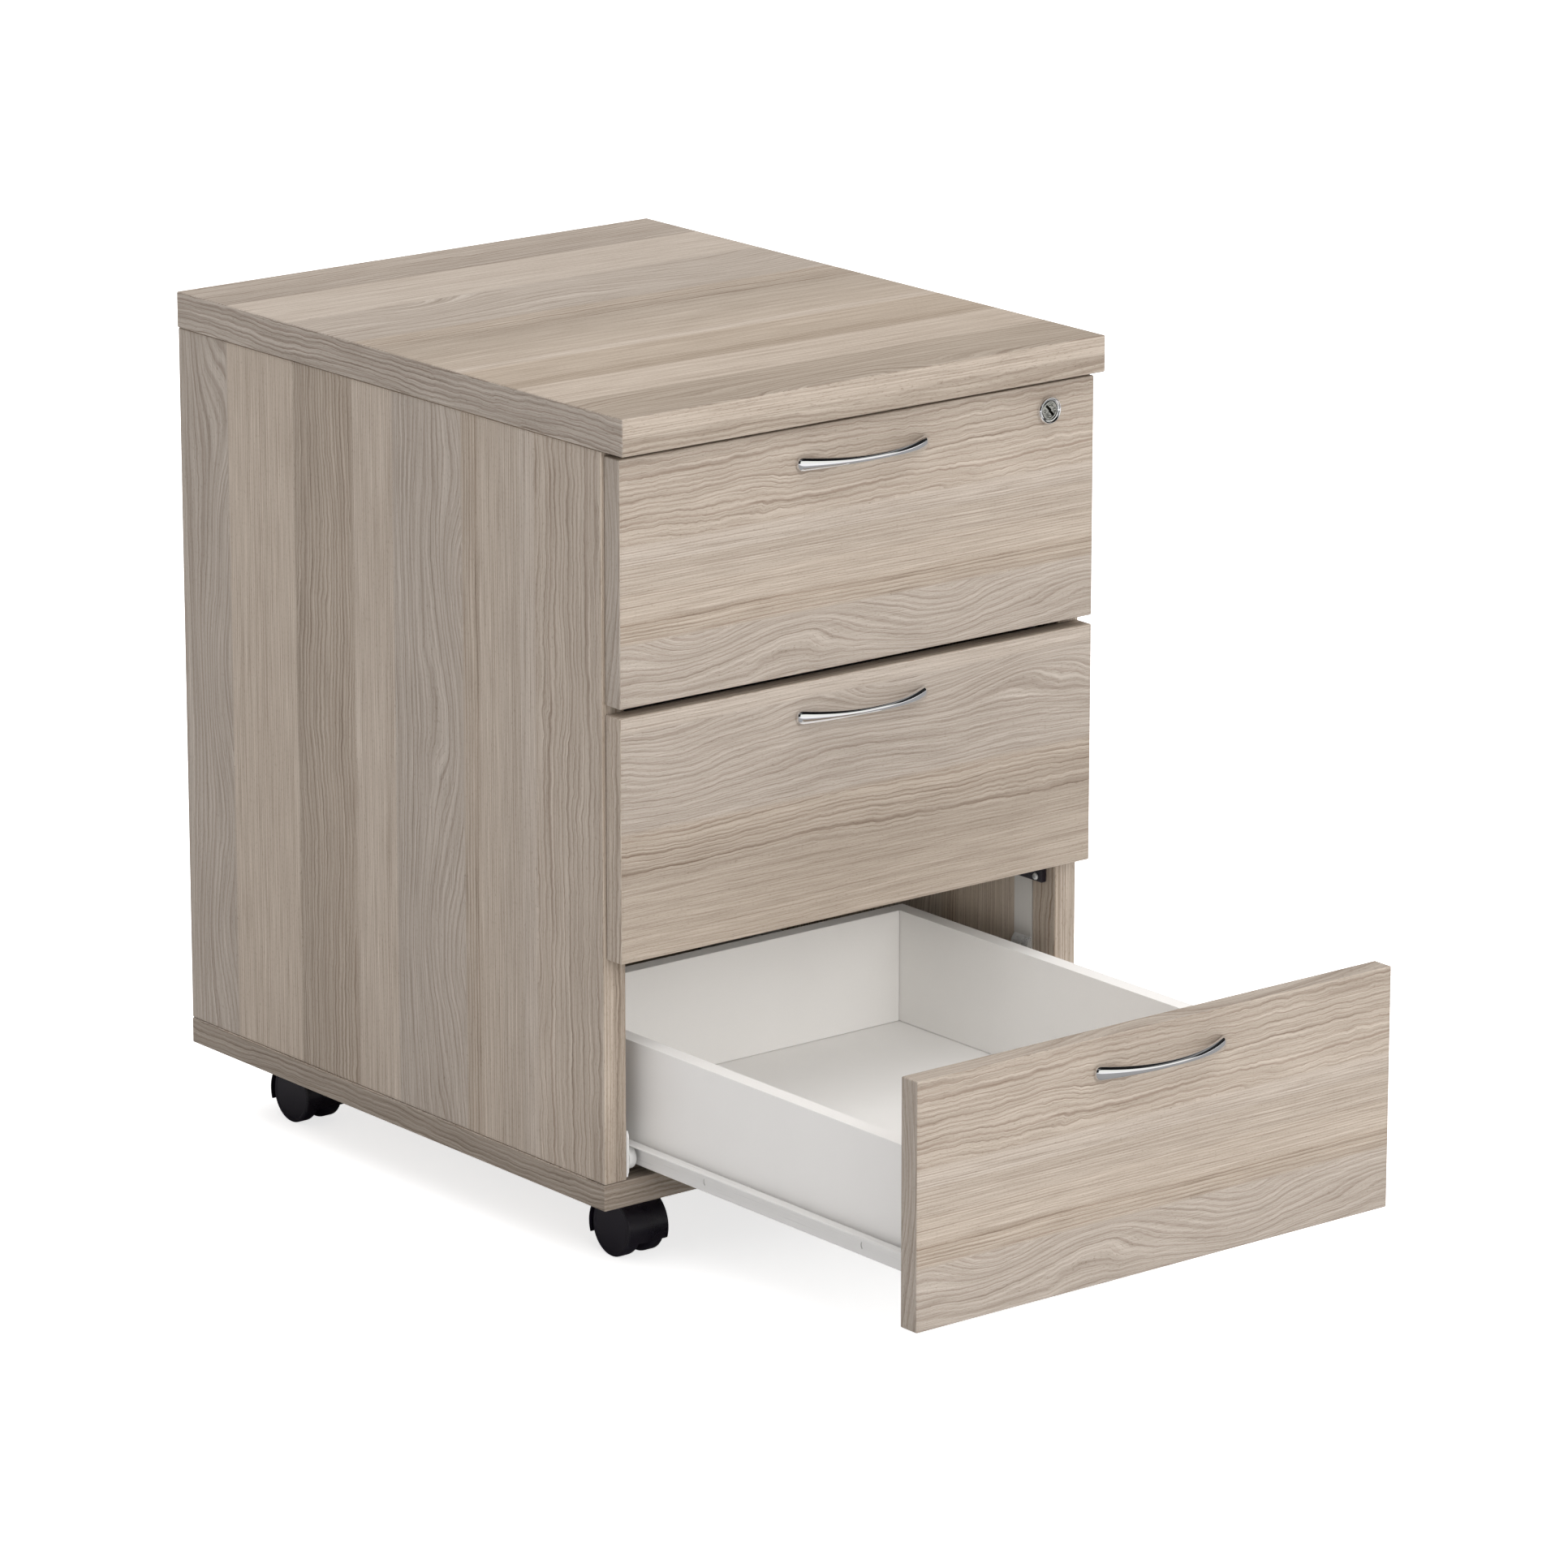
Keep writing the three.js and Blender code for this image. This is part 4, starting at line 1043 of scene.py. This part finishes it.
def rivet(web, head, centre):
    """A pin from the runner's web, with a domed head on the far side of the roller."""
    past = math.copysign(1.0, head - web)
    profile = [(0, web), (2.4, web), (2.4, head), (4.8, head), (4.6, head + past * 0.5),
               (3.4, head + past * 0.95), (0, head + past * 1.1)]
    return turned(profile, "x", centre, 48)


for number in DRAWERS:
    drawer = f"drawer_{number}"
    front_top = box_mm(f"{drawer}_front")[1].z
    for name, side in SIDES:
        drawer_node, cabinet_node = f"{drawer}_{name}_runner", f"cabinet_runner_{number}_{name}"
        piece(f"{drawer_node}_profile", drawer_runner(drawer_node, side), WHITE_STEEL, drawer,
              [drawer_node])
        piece(f"{cabinet_node}_channel", cabinet_runner(cabinet_node, side), WHITE_STEEL, "carcass",
              [cabinet_node])

        low, high = box_mm(cabinet_node)
        screw_height = (low.z + high.z - UPPER_FLANGE_DROP) / 2
        screw_x = side * (CABINET_WEB_X - SHEET / 2)
        facing = "-x" if side > 0 else "+x"
        heads = [placed(FLAT_HEAD, (screw_x, y, screw_height), facing, turn)
                 for y, turn in ((low.y + RUNNER_SCREW_BACK[0], 10), (low.y + RUNNER_SCREW_BACK[1], 50),
                                 (high.y - LAST_SCREW_INSET, 80))]
        piece(f"{cabinet_node}_screws", gathered(heads), ZINC, "carcass")

        runner_high = box_mm(drawer_node)[1]
        turning = number == 3
        for end, x, web, head, y, drop, rides in (
            ("front", FRONT_ROLLER_X, CABINET_WEB_X, FRONT_ROLLER_X - ROLLER_PLAY, ROLLER_Y,
             FRONT_ROLLER_DROP, "carcass"),
            ("rear", REAR_ROLLER_X, DRAWER_WEB_X, REAR_ROLLER_X + ROLLER_WIDTH + ROLLER_PLAY,
             runner_high.y - REAR_ROLLER_INSET, REAR_ROLLER_DROP, drawer),
        ):
            centre = (y, front_top - drop)
            start = x if side > 0 else -x - ROLLER_WIDTH
            node = f"{end}_roller_{number}_{name}"
            piece(f"{node}_wheel", roller(start, centre), NYLON, node if turning else rides,
                  [node] if turning else (), flat=False)
            piece(f"{node}_rivet", rivet(side * web, side * head, centre), ZINC, rides)

# ---- Castors ----


def castor_hood():
    """Arch over both wheels with a spine between them, a boss on top and the axle."""
    half, radius, bend = HOOD_HALF_WIDTH, HOOD_RADIUS, HOOD_BEND
    corner = arc((radius - bend, half - bend), bend, 0, 90, 4)
    drum = [(0, -half)] + [(r, -x) for r, x in reversed(corner)] + corner + [(0, half)]
    hood = turned(drum, "x", AXLE, 96)
    boss = [(0, 20), (BOSS_RADIUS, 20), (BOSS_RADIUS, BOSS_TOP - 0.8), (BOSS_RADIUS - 0.8, BOSS_TOP),
            (0, BOSS_TOP)]
    hood = combined(hood, turned(boss, "z", (0, 0), 64))
    inner = radius - HOOD_WALL
    hollow = rod(inner, -2 * half, 2 * half)
    hood = combined(hood, turned(hollow, "x", AXLE, 96), "DIFFERENCE")
    spine = rod(inner + SPINE_SINK, -SPINE_HALF, SPINE_HALF)
    hood = combined(hood, turned(spine, "x", AXLE, 96))
    bore = rod(BOSS_BORE, WHEEL_RADIUS + 10, BOSS_TOP + 14)
    hood = combined(hood, turned(bore, "z", (0, 0), 48), "DIFFERENCE")
    floor_z = WHEEL_RADIUS - SKIRT_DROP
    below = rounded_box(Vector((-60, -60, -60)), Vector((60, 60, floor_z)), 0.0)
    hood = combined(hood, below, "DIFFERENCE")
    end, thick, chamfer = AXLE_HALF, AXLE_RADIUS, 0.3
    axle = [(0, -end), (thick - chamfer, -end), (thick, chamfer - end), (thick, end - chamfer),
            (thick - chamfer, end), (0, end)]
    return combined(hood, turned(axle, "x", AXLE, 48))


def castor_wheel(side):
    """A wheel with a nearly flat closed face and a strongly rounded inner edge."""
    outer, inner, radius = WHEEL_OUTER, WHEEL_INNER, WHEEL_RADIUS
    profile = [(0, outer - 0.35), (17.1, outer - 0.35), (17.5, outer - 0.05), (17.8, outer)]
    profile += arc((radius - 1.2, outer - 1.2), 1.2, 90, 0, 5)
    profile += arc((radius - 4.5, inner + 4.5), 4.5, 0, -90, 10)
    profile += [(3.2, inner), (3.2, outer - 3), (0, outer - 3)]
    return turned([(r, side * x) for r, x in profile], "x", AXLE, 96)


def castor_plate():
    """The square plate with its swivel pin, and its four screws."""
    reach = PLATE_HALF - PLATE_CORNER
    quarters = ((1, 1), (-1, 1), (-1, -1), (1, -1))
    outline = []
    for turn, (a, b) in zip((0, 90, 180, 270), quarters):
        outline += arc((a * reach, b * reach), PLATE_CORNER, turn, turn + 90, 8)
    plate = extruded(outline, "z", PLATE_BOTTOM, PLATE_TOP, 0.4)
    tip = SWIVEL_PIN_BOTTOM
    pin = [(0, tip), (SWIVEL_PIN - 0.5, tip), (SWIVEL_PIN, tip + 0.5), (SWIVEL_PIN, PLATE_BOTTOM + 1),
           (0, PLATE_BOTTOM + 1)]
    plate = combined(plate, turned(pin, "z", (0, 0), 48))
    heads = [placed(FLAT_HEAD, (a * PLATE_SCREW, b * PLATE_SCREW, PLATE_BOTTOM), "-z", 15 * i)
             for i, (a, b) in enumerate(quarters)]
    return plate, gathered(heads)


HOOD = castor_hood()
PLATE, PLATE_SCREWS = castor_plate()
WHEELS = {side: castor_wheel(side) for side in (-1, 1)}
for name, side in SIDES:
    for end in ("front", "rear"):
        castor = f"castor_{end}_{name}"
        low, high = box_mm(f"{castor}_plate")
        place = Matrix.Translation(((low.x + high.x) / 2, (low.y + high.y) / 2, 0))
        piece(f"{castor}_plate_steel", moved(PLATE, place), ZINC, "carcass", [f"{castor}_plate"])
        piece(f"{castor}_plate_screws", moved(PLATE_SCREWS, place), ZINC, "carcass")
        piece(f"{castor}_hood_shell", moved(HOOD, place), BLACK, f"{castor}_hood",
              [f"{castor}_hood"], flat=False)
        for which, way in (("outer", side), ("inner", -side)):
            node = f"{castor}_{which}_wheel"
            piece(f"{node}_disc", moved(WHEELS[way], place), BLACK_TREAD, node, [node],
                  flat=False)

# ---- Stage, light and camera ----

CAMERA_PLACE = (-3.15212, -3.96553, 1.69993)
CAMERA_TARGET = (0.0086, 0.0051, 0.28725)
CAMERA_LENS = 180.79
FLOOR_HALF = 30.0
WORLD_LIGHT = 0.22


def floor():
    bm = bmesh.new()
    bmesh.ops.create_grid(bm, x_segments=8, y_segments=8, size=FLOOR_HALF)
    mesh = mesh_of("studio_floor", bm)
    mesh.materials.append(floor_paint())
    linked("studio_floor", mesh)


def world():
    """A pale room. Shiny surfaces see a white wall in front and dark ones at the sides and above."""
    made = bpy.data.worlds.new("studio")
    made.use_nodes = True
    bpy.context.scene.world = made
    g = Graph.on(made.node_tree)
    place = g.node("TexCoord")
    x, y, z = g.split(place.outputs["Generated"])
    in_front = g.spread(g.math("MULTIPLY", y, -1.0), 0.52, 0.70, smooth=True)
    wall = g.spread(z, 0.40, 0.48, 0.96, 0.0, smooth=True)
    side = g.spread(z, 0.40, 0.60, 0.02, 0.28, smooth=True)
    side = g.math("MULTIPLY", side, g.spread(z, 0.60, 0.80, 1.0, 0.05, smooth=True))
    shine = g.mix(in_front, g.xyz(side, side, side), g.xyz(wall, wall, g.math("MULTIPLY", wall, 0.96)))
    rays = g.node("LightPath")
    diffuse = g.node("Background")
    diffuse.inputs["Strength"].default_value = WORLD_LIGHT
    diffuse.inputs["Color"].default_value = (1.0, 0.975, 1.0, 1)
    seen = g.node("Background")
    g.plug(seen.inputs["Color"], shine)
    mix = g.node("MixShader")
    g.plug(mix.inputs[0], rays.outputs["Is Glossy Ray"])
    g.plug(mix.inputs[1], diffuse.outputs[0])
    g.plug(mix.inputs[2], seen.outputs[0])
    output = g.node("OutputWorld")
    g.plug(output.inputs["Surface"], mix.outputs[0])


def soft_sun(name, towards, strength, angle, only=()):
    """Very soft light from far away, so that the floor is evenly lit. It may light only some pieces."""
    light = bpy.data.lights.new(name, "SUN")
    light.energy = strength
    light.angle = math.radians(angle)
    obj = linked(name, light)
    obj.rotation_mode = "QUATERNION"
    obj.rotation_quaternion = Vector(towards).to_track_quat("-Z", "Y")
    obj.visible_glossy = False
    if only:
        lit = bpy.data.collections.new(f"lit_by_{name}")
        for other in only:
            lit.objects.link(other)
        obj.light_linking.receiver_collection = lit


def camera():
    data = bpy.data.cameras.new("camera")
    data.lens = CAMERA_LENS
    data.sensor_width = 36
    data.clip_start, data.clip_end = 0.1, 200
    obj = linked("camera", data)
    obj.location = CAMERA_PLACE
    obj.rotation_mode = "QUATERNION"
    obj.rotation_quaternion = (Vector(CAMERA_TARGET) - Vector(CAMERA_PLACE)).to_track_quat("-Z", "Y")
    bpy.context.scene.camera = obj


floor()
world()
soft_sun("overhead_light", (-0.15, 0.05, -0.98), 2.76, 100)
soft_sun("front_light", (0.05, 0.90, -0.38), 1.27, 40)
soft_sun("left_light", (0.50, 0.50, -0.70), 0.05, 60)
soft_sun("drawer_fill", (0.40, 0.52, -0.42), 0.80, 50, only=INNER_BOARDS)
camera()
bpy.context.scene.view_settings.view_transform = "Standard"
